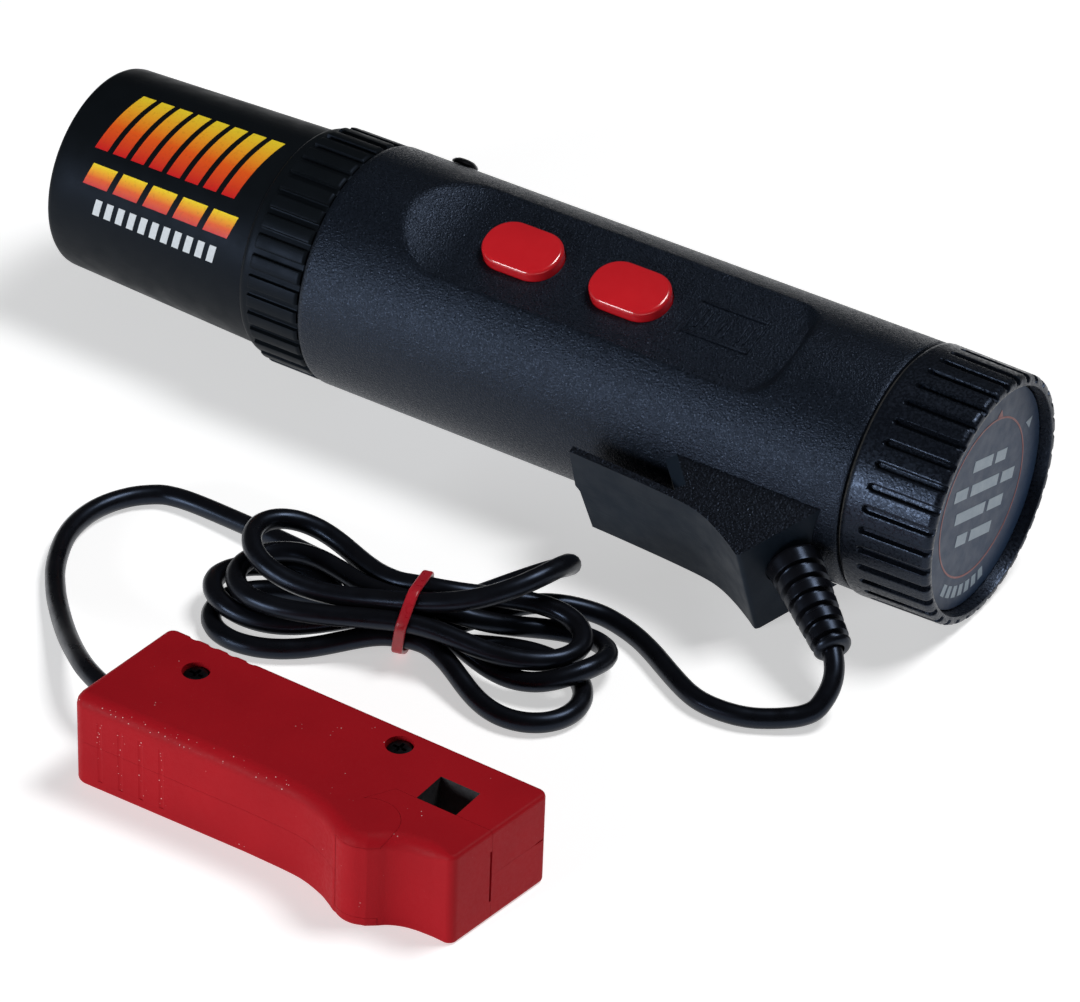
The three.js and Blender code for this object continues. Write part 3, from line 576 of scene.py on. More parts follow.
MATERIALS = {
    "body_black": pebbled_plastic("body_black", (0.005, 0.007, 0.011), 0.31, 0.15, 0.38),
    "cap_black": pebbled_plastic("cap_black", (0.005, 0.006, 0.009), 0.5, 0.05, 0.34),
    "barrel_black": satin_plastic("barrel_black", (0.003, 0.004, 0.005), 0.42),
    "bracket_smooth": satin_plastic("bracket_smooth", (0.006, 0.010, 0.016), 0.48, 12),
    "bracket_rough": pebbled_plastic(
        "bracket_rough", (0.005, 0.006, 0.008), 0.40, 0.16, 0.36, dark=(0.003, 0.003, 0.004)
    ),
    "button_red": glossy_red(),
    "clamp_red": specked_red("clamp_red", 0.66, 0.72),
    # Denser pale specks: dust in the flutes and a painted highlight along the front upper edge.
    "clamp_dust_and_highlight": specked_red("clamp_dust_and_highlight", 0.40, 0.50),
    "cord_black": cord_rubber(),
    "tie_red": tie_rubber(),
    "seal_black": plain_rubber(),
    "label_slate": label_film(),
    "white_ink": ink("white_ink", (0.62, 0.66, 0.70), (0.50, 0.54, 0.58)),
    "red_ink": ink("red_ink", (0.20, 0.028, 0.030), (0.13, 0.022, 0.025)),
    "label_ink": ink("label_ink", (0.22, 0.28, 0.34), (0.16, 0.21, 0.26)),
    "sunset_ink": sunset_ink(),
    "clear_glass": clear_glass(),
    "mirror": metal("mirror", (0.90, 0.91, 0.92), 0.07, 6),
    "steel": metal("steel", (0.62, 0.63, 0.64), 0.28),
    "black_steel": metal("black_steel", (0.03, 0.03, 0.035), 0.32),
    "brass": metal("brass", (0.72, 0.55, 0.24), 0.25),
    "copper": wound_copper(),
    "board_green": circuit_board(),
    "ferrite": fired_ferrite(),
    "cell_jacket": cell_jacket(),
    "nylon_white": nylon(),
}

# ---- The lead: one cord from the strain relief, through the hank, to the clamp ----

LEAD_FROM_TOOL = [  # metres, as in the CAD
    (0.0873, 0.0367, 0.0193), (0.0932, 0.0324, 0.0171), (0.0996, 0.0277, 0.0146), (0.1052, 0.0233, 0.0122),
    (0.1083, 0.0194, 0.0094), (0.109, 0.0152, 0.0062), (0.1074, 0.011, 0.0036), (0.1009, 0.0062, 0.0025),
    (0.094, 0.0032, 0.0024), (0.085, 0.0032, 0.0024), (0.0756, 0.0076, 0.0024), (0.068, 0.0126, 0.0026),
    (0.0616, 0.0162, 0.0038), (0.0556, 0.017, 0.006), (0.0506, 0.0156, 0.0083),
]
LEAD_TO_CLAMP = [
    (-0.0225, -0.0016, 0.0086), (-0.0278, -0.0006, 0.0072), (-0.0342, 0.0007, 0.0048),
    (-0.0415, 0.0012, 0.0029), (-0.0492, 0, 0.0024), (-0.056, -0.0054, 0.0024),
    (-0.0598, -0.0142, 0.0024), (-0.0593, -0.0246, 0.0024), (-0.0546, -0.0352, 0.0024),
    (-0.0486, -0.0434, 0.0026), (-0.042, -0.0506, 0.0036), (-0.035, -0.0576, 0.0054),
    (-0.0276, -0.0644, 0.0079), (-0.02, -0.0704, 0.0101), (-0.0125, -0.0742, 0.0111),
    (-0.006, -0.0751, 0.01115), (0.002, -0.0752, 0.01115),
]

# The loops in winding order, in the hank's own frame. The last one leans: its near side lies higher.
LEFT_LOOPS = [  # tip x, tip y, tip height, half width, lean in degrees
    (-45.0, -2.0, 3.0, 10.0, 0),
    (-47.5, 4.5, 9.0, 9.5, 0),
    (-42.0, 5.5, 13.5, 8.8, 0),
    (-39.5, 13.5, 19.0, 9.0, 0),
]
RIGHT_LOOPS = [
    (41.5, -7.5, 3.0, 12.5, 0),
    (44.0, 6.5, 7.5, 11.5, 0),
    (36.5, 7.0, 11.5, 10.0, 0),
    (29.0, 22.0, 16.6, 11.5, 36),
]
PROUD_FROM = 14  # past this far along, the last loop keeps its shape
LAST_LOOP = 90  # no more than this long
WAIST_MIDDLE = (3.0, 9.6)  # the tied waist's centre across and up
WAIST_HALF = (6.6, 6.3)  # half its size
TIE_REACH = 7  # how far along the hank the tie gathers it
SAG = 0.000008  # metres that the cord sinks in a round
STIFFNESS = 0.16
PUSH = 0.42  # the share of an overlap that a round clears
CLEARANCE = 0.12  # kept between strands and above the table
STEP = 3.2  # between the cord's simulated points


def hank_loop(tip, side):
    """One end loop of a turn: out on one side of the waist, round the tip and back on the other."""
    x, y, z, half, lean = tip
    level, drop = math.cos(rad(lean)), math.sin(rad(lean))
    out = [(0.24, 0.62), (0.45, 0.95), (0.66, 1.0), (0.83, 0.84), (0.95, 0.48), (1.0, 0.0)]
    path = [(share * x, side * width * half, share) for share, width in out]
    path += [(px, -py, share) for px, py, share in reversed(path[:-1])]
    middle_y, middle_z = WAIST_MIDDLE
    points = []
    for px, py, share in path:
        across = middle_y + (y - middle_y) * share + py * level
        up = middle_z + (z - middle_z) * min(1, share * 1.3) - py * drop
        points.append((px, across, up))
    return points


def in_hank(points):
    """Points in metres of the part's frame, in the hank's frame."""
    inverse = np.array(HANK.inverted())
    return points @ inverse[:3, :3].T + inverse[:3, 3]


def out_of_hank(points):
    inverse = np.array(HANK.inverted())
    return (points - inverse[:3, 3]) @ inverse[:3, :3]


def hank_route():
    route = []
    for left, right in zip(LEFT_LOOPS, RIGHT_LOOPS):
        route += hank_loop(left, 1)
        route += hank_loop(right, -1)
    return [HANK @ (Vector(p) * MM) for p in route]


def even_steps(points, step):
    """Points at even distances along a smooth line through points."""
    line = smooth_line(points, 24)
    reach = np.concatenate([[0], np.cumsum(np.linalg.norm(np.diff(line, axis=0), axis=1))])
    marks = np.linspace(0, reach[-1], max(2, round(reach[-1] / step) + 1))
    return np.stack([np.interp(marks, reach, line[:, k]) for k in range(3)], 1)


def settle(points, fixed, rounds=900):
    """Lets a limp cord settle: it keeps its length and lies on itself and the table, tied at its waist."""
    p = points.copy()
    count = len(p)
    free = (~fixed).astype(float)[:, None]
    rest = np.linalg.norm(np.diff(p, axis=0), axis=1)
    waist_y, waist_z = WAIST_MIDDLE[0] * MM, WAIST_MIDDLE[1] * MM
    half_y, half_z = WAIST_HALF[0] * MM, WAIST_HALF[1] * MM
    apart = (CORD_D + CLEARANCE) * MM
    along = np.arange(count)
    near = np.abs(np.subtract.outer(along, along)) <= round(apart * 1.9 / (STEP * MM)) + 1
    for i in range(rounds):
        calm = i / rounds
        p[:, 2] -= free[:, 0] * SAG * (1 - calm)
        for _ in range(2):  # length
            for start in (0, 1):
                a, b = np.arange(start, count - 1, 2), np.arange(start + 1, count, 2)
                d = p[b] - p[a]
                length = np.linalg.norm(d, axis=1, keepdims=True)
                weight = free[a] + free[b] + 1e-9
                change = d * (1 - rest[a][:, None] / length) / weight
                p[a] += change * free[a]
                p[b] -= change * free[b]
        middle = (p[:-2] + p[2:]) / 2 - p[1:-1]  # stiffness
        p[1:-1] += STIFFNESS * middle * free[1:-1]
        p[:-2] -= STIFFNESS / 2 * middle * free[:-2]
        p[2:] -= STIFFNESS / 2 * middle * free[2:]
        gap = p[:, None, :] - p[None, :, :]  # the cord against itself
        distance = np.sqrt((gap**2).sum(-1)) + 1e-12
        overlap = np.where(near, 0, np.clip(apart - distance, 0, None))
        p += PUSH * free * (gap / distance[..., None] * overlap[..., None]).sum(1)
        local = in_hank(p)  # the tie
        hold = np.clip(1 - np.abs(local[:, 0]) / (TIE_REACH * MM), 0, 1)
        across, up = local[:, 1] - waist_y, local[:, 2] - waist_z
        out = np.hypot(across / half_y, up / half_z)
        pull = np.clip(1 - 1 / np.maximum(out, 1e-6), 0, None) * np.minimum(1, hold * 2.2) * free[:, 0]
        local[:, 1] -= pull * across
        local[:, 2] -= pull * up
        p = out_of_hank(local)
        p[:, 2] = np.where(fixed, p[:, 2], np.maximum(p[:, 2], (CORD_R + CLEARANCE) * MM))
    return p


def make_cord():
    start, end = even_steps(LEAD_FROM_TOOL, STEP * MM), even_steps(LEAD_TO_CLAMP, STEP * MM)
    whole = even_steps([*LEAD_FROM_TOOL, *hank_route(), *LEAD_TO_CLAMP], STEP * MM)
    fixed = np.zeros(len(whole), bool)  # outside the hank, the lead stays as drawn
    fixed[: len(start) - 8] = True
    fixed[-(len(end) - 9):] = True
    last = np.arange(len(whole)) > len(whole) - len(end) - LAST_LOOP / STEP
    fixed |= last & (in_hank(whole)[:, 0] > PROUD_FROM * MM)
    line = smooth_line(settle(whole, fixed), 4)
    curve = bpy.data.curves.new("cord", "CURVE")
    curve.dimensions = "3D"
    curve.bevel_depth = CORD_R * MM
    curve.bevel_resolution = 5
    curve.use_fill_caps = True
    spline = curve.splines.new("POLY")
    spline.points.add(len(line) - 1)
    spline.points.foreach_set("co", np.hstack([line, np.ones((len(line), 1))]).ravel())
    spline.use_smooth = True
    length = float(np.linalg.norm(np.diff(line, axis=0), axis=1).sum())
    return add_object("cord", curve), line, length


def make_tie(line):
    """A rubber band pulled round the waist, following the strands that it holds."""
    local = in_hank(line) / MM
    strands = local[np.abs(local[:, 0]) < 2.2][:, 1:]
    centre = (strands.max(0) + strands.min(0)) / 2
    angles = even_turn(96)
    facing = np.stack([np.cos(angles), np.sin(angles)], 1)
    reach = ((strands - centre) @ facing.T).max(0) + CORD_R + 0.05
    slope = (np.roll(reach, -1) - np.roll(reach, 1)) / (2 * angles[1])
    sideways = np.stack([-facing[:, 1], facing[:, 0]], 1)
    hull = centre + facing * reach[:, None] + sideways * slope[:, None]
    hull[:, 1] = np.maximum(hull[:, 1], 1.15)  # clear of the table
    section = rounded_rectangle(0, 0.55, 2.5, 1.1, 0.5, 4)
    tangent = np.roll(hull, -1, 0) - np.roll(hull, 1, 0)
    outward = np.stack([tangent[:, 1], -tangent[:, 0]], 1)
    outward /= np.linalg.norm(outward, axis=1, keepdims=True) + 1e-12
    lean = 0.16
    points = []
    for (y, z), (oy, oz) in zip(hull, outward):
        for wide, thick in section:
            height = z + oz * thick
            points.append((wide + lean * (height - centre[1]), y + oy * thick, height))
    faces = grid_faces(len(hull), len(section), True, True)
    tie = add_mesh("tie_band", points, faces, HANK)
    return shade(tie, 60)


cord, cord_line, cord_length = make_cord()
tie = make_tie(cord_line)


# ---- Body ----

def recess_height(stations, lateral):
    """The pocket's surface: a flat floor, swept-up sides and rear end, and a long scoop in front."""
    front, rear = RECESS_ENDS
    corner = 8.0
    qx = stations - rear + corner
    qy = np.abs(lateral) - RECESS_HALF + corner
    outside = np.hypot(np.maximum(qx, 0), np.maximum(qy, 0)) + np.minimum(np.maximum(qx, qy), 0) - corner
    width = 3.6 + 2.4 * smoothstep(10, 2, rear - stations)
    wall = 5.2 * np.clip(1 + outside / width, 0, None) ** 2.4
    scoop = (BODY_R - RECESS_FLOOR) * np.clip(1 - (stations - front) / SCOOP_LENGTH, 0, None) ** 2
    return RECESS_FLOOR + np.hypot(wall, scoop)


def body_radius(stations, angles, radius):
    """The round body with the pocket pressed into it. The bore dips under the pocket to keep its wall."""
    turned = (angles + math.pi) % (2 * math.pi) - math.pi
    upright = np.maximum(np.cos(turned), 0.3)
    shaped = radius.copy()
    over = (np.abs(turned) < rad(60)) & (radius > BORE_R + 0.5)
    blend = 0.25
    for _ in range(14):
        floor = recess_height(stations, shaped * np.sin(turned)) / upright
        level = np.minimum(radius, floor) - blend * np.exp(-np.abs(radius - floor) / blend) * 0.5
        shaped = np.where(over, (shaped + level) / 2, radius)
    low, high = BORE_DIP
    under = (radius <= BORE_R) & (stations > low) & (stations < high)
    return np.where(under, np.minimum(shaped, (RECESS_FLOOR - RECESS_WALL) / upright), shaped)


def make_body():
    drops = [(0, 1.2), (0.12, 0.75), (0.45, 0.32), (0.9, 0.1), (1.5, 0)]
    front = [(BODY_START + x, BODY_R - drop) for x, drop in drops]
    tube = [(x, BODY_R) for x in np.arange(BODY_START + 2.2, BODY_END - 1, 0.6)]
    rear = [(BODY_END - 0.5, BODY_R), (BODY_END - 0.15, BODY_R - 0.15), (BODY_END, BODY_R - 0.5)]
    outline = [(BODY_START, BORE_R), *front, *tube, *rear, (BODY_END, BORE_R)]
    low, high = BORE_DIP
    outline += [(x, BORE_R) for x in (high + 0.25, high - 0.25, low + 0.25, low - 0.25)]
    angles = np.radians([*np.arange(-50, 50, 0.9), *np.arange(50, 310, 3.0)])  # finer over the pocket
    body = revolve("body_tube", outline, RECESS, angles, body_radius, True)
    length, width = BUTTON_SIZE
    openings = [rounded_rectangle(x, 0, length + 0.5, width + 0.5, 6.4, 12) for x in BUTTON_STATIONS]
    cut(body, *(prism("hole", opening, 20, 30, RECESS) for opening in openings))
    return shade(body, 40)


def make_recess_frame():
    """A thin raised outline with plain raised bars inside it, on the pocket's floor."""
    left, right, low, high = 162.1, 178.8, -4.3, 5.4
    line, top = 0.42, RECESS_FLOOR + 0.45
    spans = [(left, right, low, low + line), (left, right, high - line, high)]
    spans += [(left, left + line, low, high), (right - line, right, low, high)]
    spans += [(x, x + 0.45, low + 2.2, high - 2.2) for x in (164.3, 165.9, 169.6, 171.2, 174.9, 176.5)]
    bars = [block("bar", (a, b), (c, d), (top - 1.2, top), RECESS) for a, b, c, d in spans]
    return shade(round_edges(joined("recess_outline", bars), 0.08, 2))


done(make_body(), "tool_body", "body_black", "body_shell")
done(make_recess_frame(), "tool_body", "body_black")


# ---- Barrel, collar and optics ----

def barrel_r(station):
    return np.interp(station, (1.6, COLLAR_START), (BARREL_FRONT_R, BARREL_REAR_R))


def make_barrel():
    lip = [(0.0, 22.2), (0.0, 22.7), (0.12, 23.2), (0.4, 23.62), (0.9, 23.95), (1.6, BARREL_FRONT_R)]
    slope = [(x, barrel_r(x)) for x in np.arange(4, 56, 4)]
    rear = [(COLLAR_START, BARREL_REAR_R), (90, BORE_R - 0.35), (90, 23.8), (12, 22.3), (12, 20.6), (7, 20.6)]
    outline = [*lip, *slope, *rear, (7, 22.2)]
    return shade(revolve("front_barrel", outline, TOOL, 192, closed=True), 30)


def rib_share(angles, half_width, edge):
    """1 on a rib and 0 between ribs, with steep sides. Widths are in degrees of the turn."""
    pitch = 360 / RIBS
    off = np.abs((np.degrees(angles) + pitch / 2) % pitch - pitch / 2)
    return 1 - smoothstep(half_width - edge, half_width + edge, off)


def collar_radius(stations, angles, radius):
    start, end = COLLAR_START + 2.8, BODY_START - 0.35
    along = smoothstep(start, start + 0.35, stations) * (1 - 0.35 * smoothstep(end - 0.5, end, stations))
    ribs = rib_share(angles, 3.15, 0.32) * along
    rounded = 0.06 * (1 - np.cos(angles * RIBS))
    outer = radius > BARREL_REAR_R + 1
    return np.where(outer, radius + (RIB_HEIGHT - rounded) * ribs, radius)


def make_collar():
    root, end = COLLAR_R - RIB_HEIGHT, BODY_START - 0.3
    front = [(COLLAR_START + x, root - drop) for x, drop in ((0, 0.9), (0.3, 0.35), (0.9, 0))]
    band = [(x, root) for x in np.arange(COLLAR_START + 1.6, end - 0.3, 0.3)]
    rear = [(end - 0.15, root), (end, root - 0.1), (end, 26.5), (end - 1, 26.3)]
    outline = [(COLLAR_START, 26.2), *front, *band, *rear]
    return shade(revolve("ribbed_collar", outline, TOOL, 864, collar_radius, True), 35)


def make_lens():
    edge = [(2.4 + 2.2 * (r / 21.9) ** 2, r) for r in np.linspace(21.9, 0, 12)]
    return shade(revolve("lens_window", [(6.7, 0), (6.7, 21.9), *edge], TOOL, 96), 30)


def make_reflector():
    mouth, vertex = 13, 46
    squared = 20**2 / (vertex - mouth)
    stations = 43.9 - (43.9 - mouth) * (1 - np.linspace(0, 1, 20)) ** 1.6
    inner = [(x, math.sqrt(squared * (vertex - x))) for x in stations]
    outer = [(x, r + 1.1) for x, r in reversed(inner)]
    outline = [*inner, *outer, (mouth + 0.9, 22.0), (mouth - 0.6, 22.0), (mouth - 0.6, 20.3)]
    return shade(revolve("lamp_reflector", outline, TOOL, 96, closed=True), 25)


def make_flash_tube():
    nose = [(24, 0), (24.15, 0.7), (24.6, 1.3), (25.3, 1.75), (26.2, 2)]
    return shade(revolve("xenon_tube", [*nose, (48.6, 2), (49.6, 1.6), (50, 1.0), (50, 0)], TOOL, 32), 30)


def make_lens_ring():
    outline = [(1.4, 20.4), (1.4, 21.7), (1.6, 21.9), (3.8, 21.9), (3.8, 20.2), (1.6, 20.2)]
    return shade(revolve("lens_retainer", outline, TOOL, 96, closed=True), 30)


def cross_cut(screw, seat, depth, reach, half_width):
    """Cuts a cross into the head of a screw that stands along X."""
    bars = [block("bar", (depth, depth + 2), (-a, a), (-b, b), seat)
            for a, b in ((reach, half_width), (half_width, reach))]
    return shade(cut(screw, *bars), 30)


def make_barrel_screw():
    head = [(28.6, 3.1), (29.0, 3.15), (29.5, 2.7), (29.95, 1.8), (30.2, 0)]
    seat = TOOL @ move(86.6, 0, 0) @ turn(50, "X") @ turn(90, "Z")
    screw = revolve("barrel_fixing", [(23, 0), (23, 1.4), (28.6, 1.4), *head], seat, 48)
    return cross_cut(screw, seat, 29.3, 1.5, 0.3)


done(make_barrel(), "tool_body", "barrel_black", "lens_barrel")
done(make_collar(), "collar_ring", "barrel_black", "front_collar")
done(make_lens(), "tool_body", "clear_glass", "front_lens")
done(make_reflector(), "tool_body", "mirror", "reflector")
done(make_flash_tube(), "tool_body", "clear_glass", "flash_tube")
done(make_lens_ring(), "tool_body", "barrel_black", "lens_ring")
done(make_barrel_screw(), "tool_body", "black_steel", "barrel_screw")


# ---- Printed graphics on the barrel ----

def barrel_patch(corners):
    """A thin closed patch on the barrel between four corners (station, degrees down the near side), and each
    point's share of the way from its upper edge to its lower one."""
    columns, rows = 6, 10
    a, b, c, d = (np.array(p, float) for p in corners)
    points, share = [], []
    for out in (-0.1, 0.07):
        for v in np.linspace(0, 1, rows + 1):
            for u in np.linspace(0, 1, columns + 1):
                x, angle = (a * (1 - u) + b * u) * (1 - v) + (d * (1 - u) + c * u) * v
                radius = barrel_r(x) + out
                points.append((x, -radius * math.sin(rad(angle)), radius * math.cos(rad(angle))))
                share.append(v)
    sheet = (rows + 1) * (columns + 1)
    lower = grid_faces(rows + 1, columns + 1)
    edge = [*range(columns + 1), *(i * (columns + 1) + columns for i in range(1, rows + 1))]
    edge += [rows * (columns + 1) + j for j in range(columns - 1, -1, -1)]
    edge += [i * (columns + 1) for i in range(rows - 1, 0, -1)]
    rim = [(p, q, q + sheet, p + sheet) for p, q in zip(edge, edge[1:] + edge[:1])]
    upper = [tuple(i + sheet for i in face) for face in lower]
    return points, [*lower, *upper, *rim], share


def make_print(name, patches):
    points, faces, shares = [], [], []
    for corners in patches:
        some_points, some_faces, share = barrel_patch(corners)
        faces += [tuple(i + len(points) for i in face) for face in some_faces]
        points += some_points
        shares += share
    return shade(add_mesh(name, points, faces, TOOL, shares), 40)


def slanted_bars(start, end, count, gap, top, bottom, slant):
    """Upright bars in a row, each leaning by slant millimetres from its foot to its head."""
    width = (end - start - slant - gap * (count - 1)) / count
    bars = []
    for i in range(count):
        x = start + i * (width + gap)
        bars.append([(x + slant, top), (x + width + slant, top), (x + width, bottom), (x, bottom)])
    return bars


upper_row = slanted_bars(9.5, 52.0, 8, 1.5, 6.0, 45.5, 3.0)
lower_row = slanted_bars(9.5, 52.0, 5, 1.7, 53.5, 65.5, 1.4)
done(make_print("stripe_print", upper_row + lower_row), "tool_body", "barrel_black", look="sunset_ink")
tally = slanted_bars(13.5, 48.5, 11, 1.4, 71.5, 80.5, 0.6)
done(make_print("tally_print", tally), "tool_body", "barrel_black", look="white_ink")


# ---- Buttons ----

def make_button(name, station):
    """A pillow-topped key on the flange that stops it under the pocket's floor."""
    length, width = BUTTON_SIZE
    seat = RECESS @ move(station, 0, 0)
    foot, crown, edge = 22.4, 0.4, 1.0
    levels = [(foot, 0), (BUTTON_TOP - 1.6, 0)]
    levels += [(BUTTON_TOP - crown - edge * (1 - math.sin(a)), edge * (1 - math.cos(a)))
               for a in np.radians(range(10, 91, 10))]
    rings = []
    for height, inset in levels:
        ring = rounded_rectangle(0, 0, length - 2 * inset, width - 2 * inset, 6.1 - inset)
        rings.append([(x, y, height) for x, y in ring])
    last = rings[-1]
    for share in (0.85, 0.7, 0.55, 0.4, 0.25, 0.1):
        rings.append([(x * share, y * share, BUTTON_TOP - crown * share**2) for x, y, _ in last])
    points = [p for ring in rings for p in ring] + [(0, 0, BUTTON_TOP), (0, 0, foot)]
    count, top, bottom = len(last), len(points) - 2, len(points) - 1
    faces = grid_faces(len(rings), count, False, True)
    for first, middle in ((top - count, top), (0, bottom)):
        faces += [(first + j, first + (j + 1) % count, middle) for j in range(count)]
    key = add_mesh(name, points, faces, seat)
    flange = prism("flange", rounded_rectangle(0, 0, length + 3.2, width + 3.2, 7.7), foot - 0.8, foot, seat)
    stem = post("stem", 0, 0, foot - 1.4, foot + 0.1, 2, seat, 24)
    return shade(joined(name, [key, flange, stem]), 50)


for role, station in zip(("power", "flash"), BUTTON_STATIONS):
    done(make_button(role + "_key_top", station), role + "_key", "button_red", role + "_button")


# ---- Rear cap ----

def cap_radius(stations, angles, radius):
    """Narrow grooves with round starts, which run out through the cap's end."""
    pitch, inner = 360 / RIBS, 26.9
    off = rad(1) * (np.degrees(angles) % pitch - pitch / 2) * CAP_R
    before = np.minimum(stations - (CAP_START + 5.4), 0)
    depth = 1.25 * (1 - smoothstep(0.45, 1.0, np.hypot(off, before)))
    return radius - np.minimum(depth, np.maximum(radius - inner, 0))


def make_cap():
    start, end = CAP_START, TOOL_LENGTH
    floor, plug, low = end - LABEL_DEPTH - 0.9, start - 8.5, end - 1.2
    rim = [(floor, 0), (floor, 25.9), (end - 0.4, 26.1), (end - 0.08, 26.25), (end, 26.5), (end, 27.3)]
    rim += [(end - 0.15, 27.75), (end - 0.55, 28.2), (low, 28.5)]
    side = [(x, np.interp(x, (start + 1, low), (CAP_R, 28.5))) for x in np.arange(low - 0.4, start + 1, -0.3)]
    front = [(start + 0.5, CAP_R - 0.08), (start + 0.15, CAP_R - 0.35), (start, CAP_R - 0.9)]
    inside = [(start, BORE_R - 0.35), (plug, BORE_R - 0.35), (plug, 23.7), (floor - 2.4, 23.7)]
    inside += [(floor - 2.4, 6), (220, 6), (220, 3.3), (226.4, 3.3), (226.4, 0)]
    return shade(revolve("grooved_cap", [*rim, *side, *front, *inside], TOOL, 900, cap_radius), 35)


LABEL_FACE = TOOL_LENGTH - LABEL_DEPTH
LABEL_R = 25.6
LABEL_SEAT = TOOL @ move(LABEL_FACE, 0, 0) @ turn(-17, "X")
LABEL = LABEL_SEAT @ turn(90, "Z") @ turn(90, "X")  # across, up as one reads it, and out
PRINT = (-0.1, 0.06)  # the print's underside and top over the label


def label_shape(outline):
    """A thin closed plate over the label from an outline of (across, up) points."""
    return prism("mark", outline, *PRINT, LABEL)


def label_ring(radius, width):
    low, high = PRINT
    inner, outer = radius - width / 2, radius + width / 2
    section = [(low, inner), (low, outer), (high, outer), (high, inner)]
    return revolve("mark", section, LABEL_SEAT, 120, closed=True)


def make_label():
    disc = [(LABEL_FACE - 0.7, 0), (LABEL_FACE - 0.7, LABEL_R), (LABEL_FACE, LABEL_R), (LABEL_FACE, 0)]
    return shade(revolve("label_disc", disc, TOOL, 128), 30)


def make_label_prints():
    red = [label_ring(18.2, 0.42), label_shape([(-1.3, 18.5), (1.3, 18.5), (0, 20.3)])]
    rows = [(8.6, (9, 5)), (2.9, (6, 13, 6)), (-2.8, (14, 7)), (-8.5, (5, 10))]
    gap, half = 1.6, 1.35
    white = []
    for up, lengths in rows:
        start = -(sum(lengths) + gap * (len(lengths) - 1)) / 2
        for length in lengths:
            white.append(block("mark", (start, start + length), (up - half, up + half), PRINT, LABEL))
            start += length + gap
    bar = [(-0.9, -20.2), (-1.05, -22.9), (1.05, -22.9), (0.9, -20.2)]
    for degrees in range(-24, 25, 8):  # a plain arc of bars under the ring
        white.append(prism("mark", bar, *PRINT, LABEL @ turn(degrees, "Z")))
    for side in (-1, 1):  # an arrowhead each way round
        tip = np.array([side * 17.0, 12.6])
        white.append(label_shape([tip, tip + (side * 0.4, 2.7), tip + (-side * 2.3, 1.7)]))
    return joined("label_red_print", red), joined("label_white_print", white)


done(make_cap(), "cap", "body_black", "rear_cap", look="cap_black")
done(make_label(), "cap", "label_slate", "cap_label")
label_red, label_white = make_label_prints()
done(label_red, "cap", "label_slate", look="red_ink")
done(label_white, "cap", "label_slate", look="label_ink")


# ---- Cord bracket and strain relief ----

BRACKET_LOW, BRACKET_HIGH = -13.7, 13.9
BOOT_EXIT = Vector((204.1, -32.7, 3.2))
BOOT_TIP = Vector((223.45, -48.75, 1.47))
BOOT_RUN = BOOT_TIP - BOOT_EXIT
BOOT_LENGTH = BOOT_RUN.length
BOOT = BRACKET @ move(*BOOT_EXIT) @ BOOT_RUN.to_track_quat("X", "Z").to_matrix().to_4x4()


def make_bracket():
    flare = [(149.6, 34.0), (160, 34.4), (172, 35.0), (181, 35.7), (186, 36.8), (191, 38.9), (195.5, 41.3)]
    corner = smooth_line([(196.9, 42.2), (197.9, 42.6), (198.7, 42.0)], 4)
    foot = [(208.8, 24.4), (208.8, 18), (162.2, 18), (177.2, 33.5)]
    blade = smooth_line([(172, 33.3), (160, 32.8), (149.6, 32.4)], 3)
    outline = [(x, -out) for x, out in [*smooth_line(flare, 6), *corner, *foot, *blade]]
    bracket = prism("cord_arm", outline, BRACKET_LOW, BRACKET_HIGH, BRACKET)
    end = [(140, -16), (140, 16), (150.8, 15), (149.6, 0.8), (150.5, -0.8), (151.3, -15)]
    trim = prism("trim", end, 25, 40, BRACKET @ turn(90, "X"))
    clearance = rod("clearance", 140, 230, BODY_R + 0.12, TOOL, 144)
    seat = revolve("seat", [(-1.6, 0), (-1.6, 3.3), (0.5, 3.3), (0.5, 6.5), (8, 6.5), (8, 0)], BOOT, 64)
    inward, along = Vector((0.719, 0.695, 0)), Vector((0.695, -0.719, 0))
    facet_frame = Matrix((inward, (0, 0, 1), along)).transposed().to_4x4()
    facet_frame.translation = Vector((162.2, -18, 0)) * MM
    facet = [(-1, BRACKET_HIGH - 2.9), (2.9, BRACKET_HIGH + 0.2), (-1, BRACKET_HIGH + 1)]
    cut(bracket, trim, clearance, seat, prism("facet", facet, 4, 20.9, BRACKET @ facet_frame))
    return flat_shade(round_edges(bracket, 0.5, 3, 28))


def roughen_top(bracket):
    bracket.data.materials.append(MATERIALS["bracket_rough"])
    top = (BRACKET.to_3x3() @ Vector((0, 0, 1))).normalized()
    for face in bracket.data.polygons:
        if face.normal.dot(top) > 0.9:
            face.material_index = 1


def boot_radius(stations, angles, radius):
    """Square segments with gaps between them, joined by a smooth spine on the lower side."""
    segments = 6
    first, last = 2.2, BOOT_LENGTH - 1.4
    pitch = (last - first) / segments
    phase = (stations - first) / pitch
    inside = (phase > 0) & (phase < segments)
    gap = smoothstep(0.60, 0.66, phase % 1) * (1 - smoothstep(0.94, 1.0, phase % 1))
    spine = smoothstep(0.78, 0.9, np.cos(angles - rad(200)))
    return np.where(inside & (radius > 3.6), radius - 1.25 * gap * (1 - spine), radius)


def make_boot():
    end, bore = BOOT_LENGTH, CORD_R + 0.06
    inside = [(end, bore), (-1.2, bore), (-1.2, 3.0), (0.8, 3.0), (0.8, 5.9), (1.1, 6.1)]
    body = [(x, np.interp(x, (1.4, end - 1), (6.1, 4.2))) for x in np.arange(1.5, end - 1, 0.16)]
    tip = [(end - 0.7, 4.05), (end - 0.3, 3.7), (end, 3.2)]
    return shade(revolve("strain_relief", [*inside, *body, *tip], BOOT, 72, boot_radius, True), 35)


roughen_top(done(make_bracket(), "tool_body", "bracket_black", "cord_bracket", look="bracket_smooth"))
done(make_boot(), "tool_body", "cord_black", "cable_boot")


# ---- Pickup clamp ----

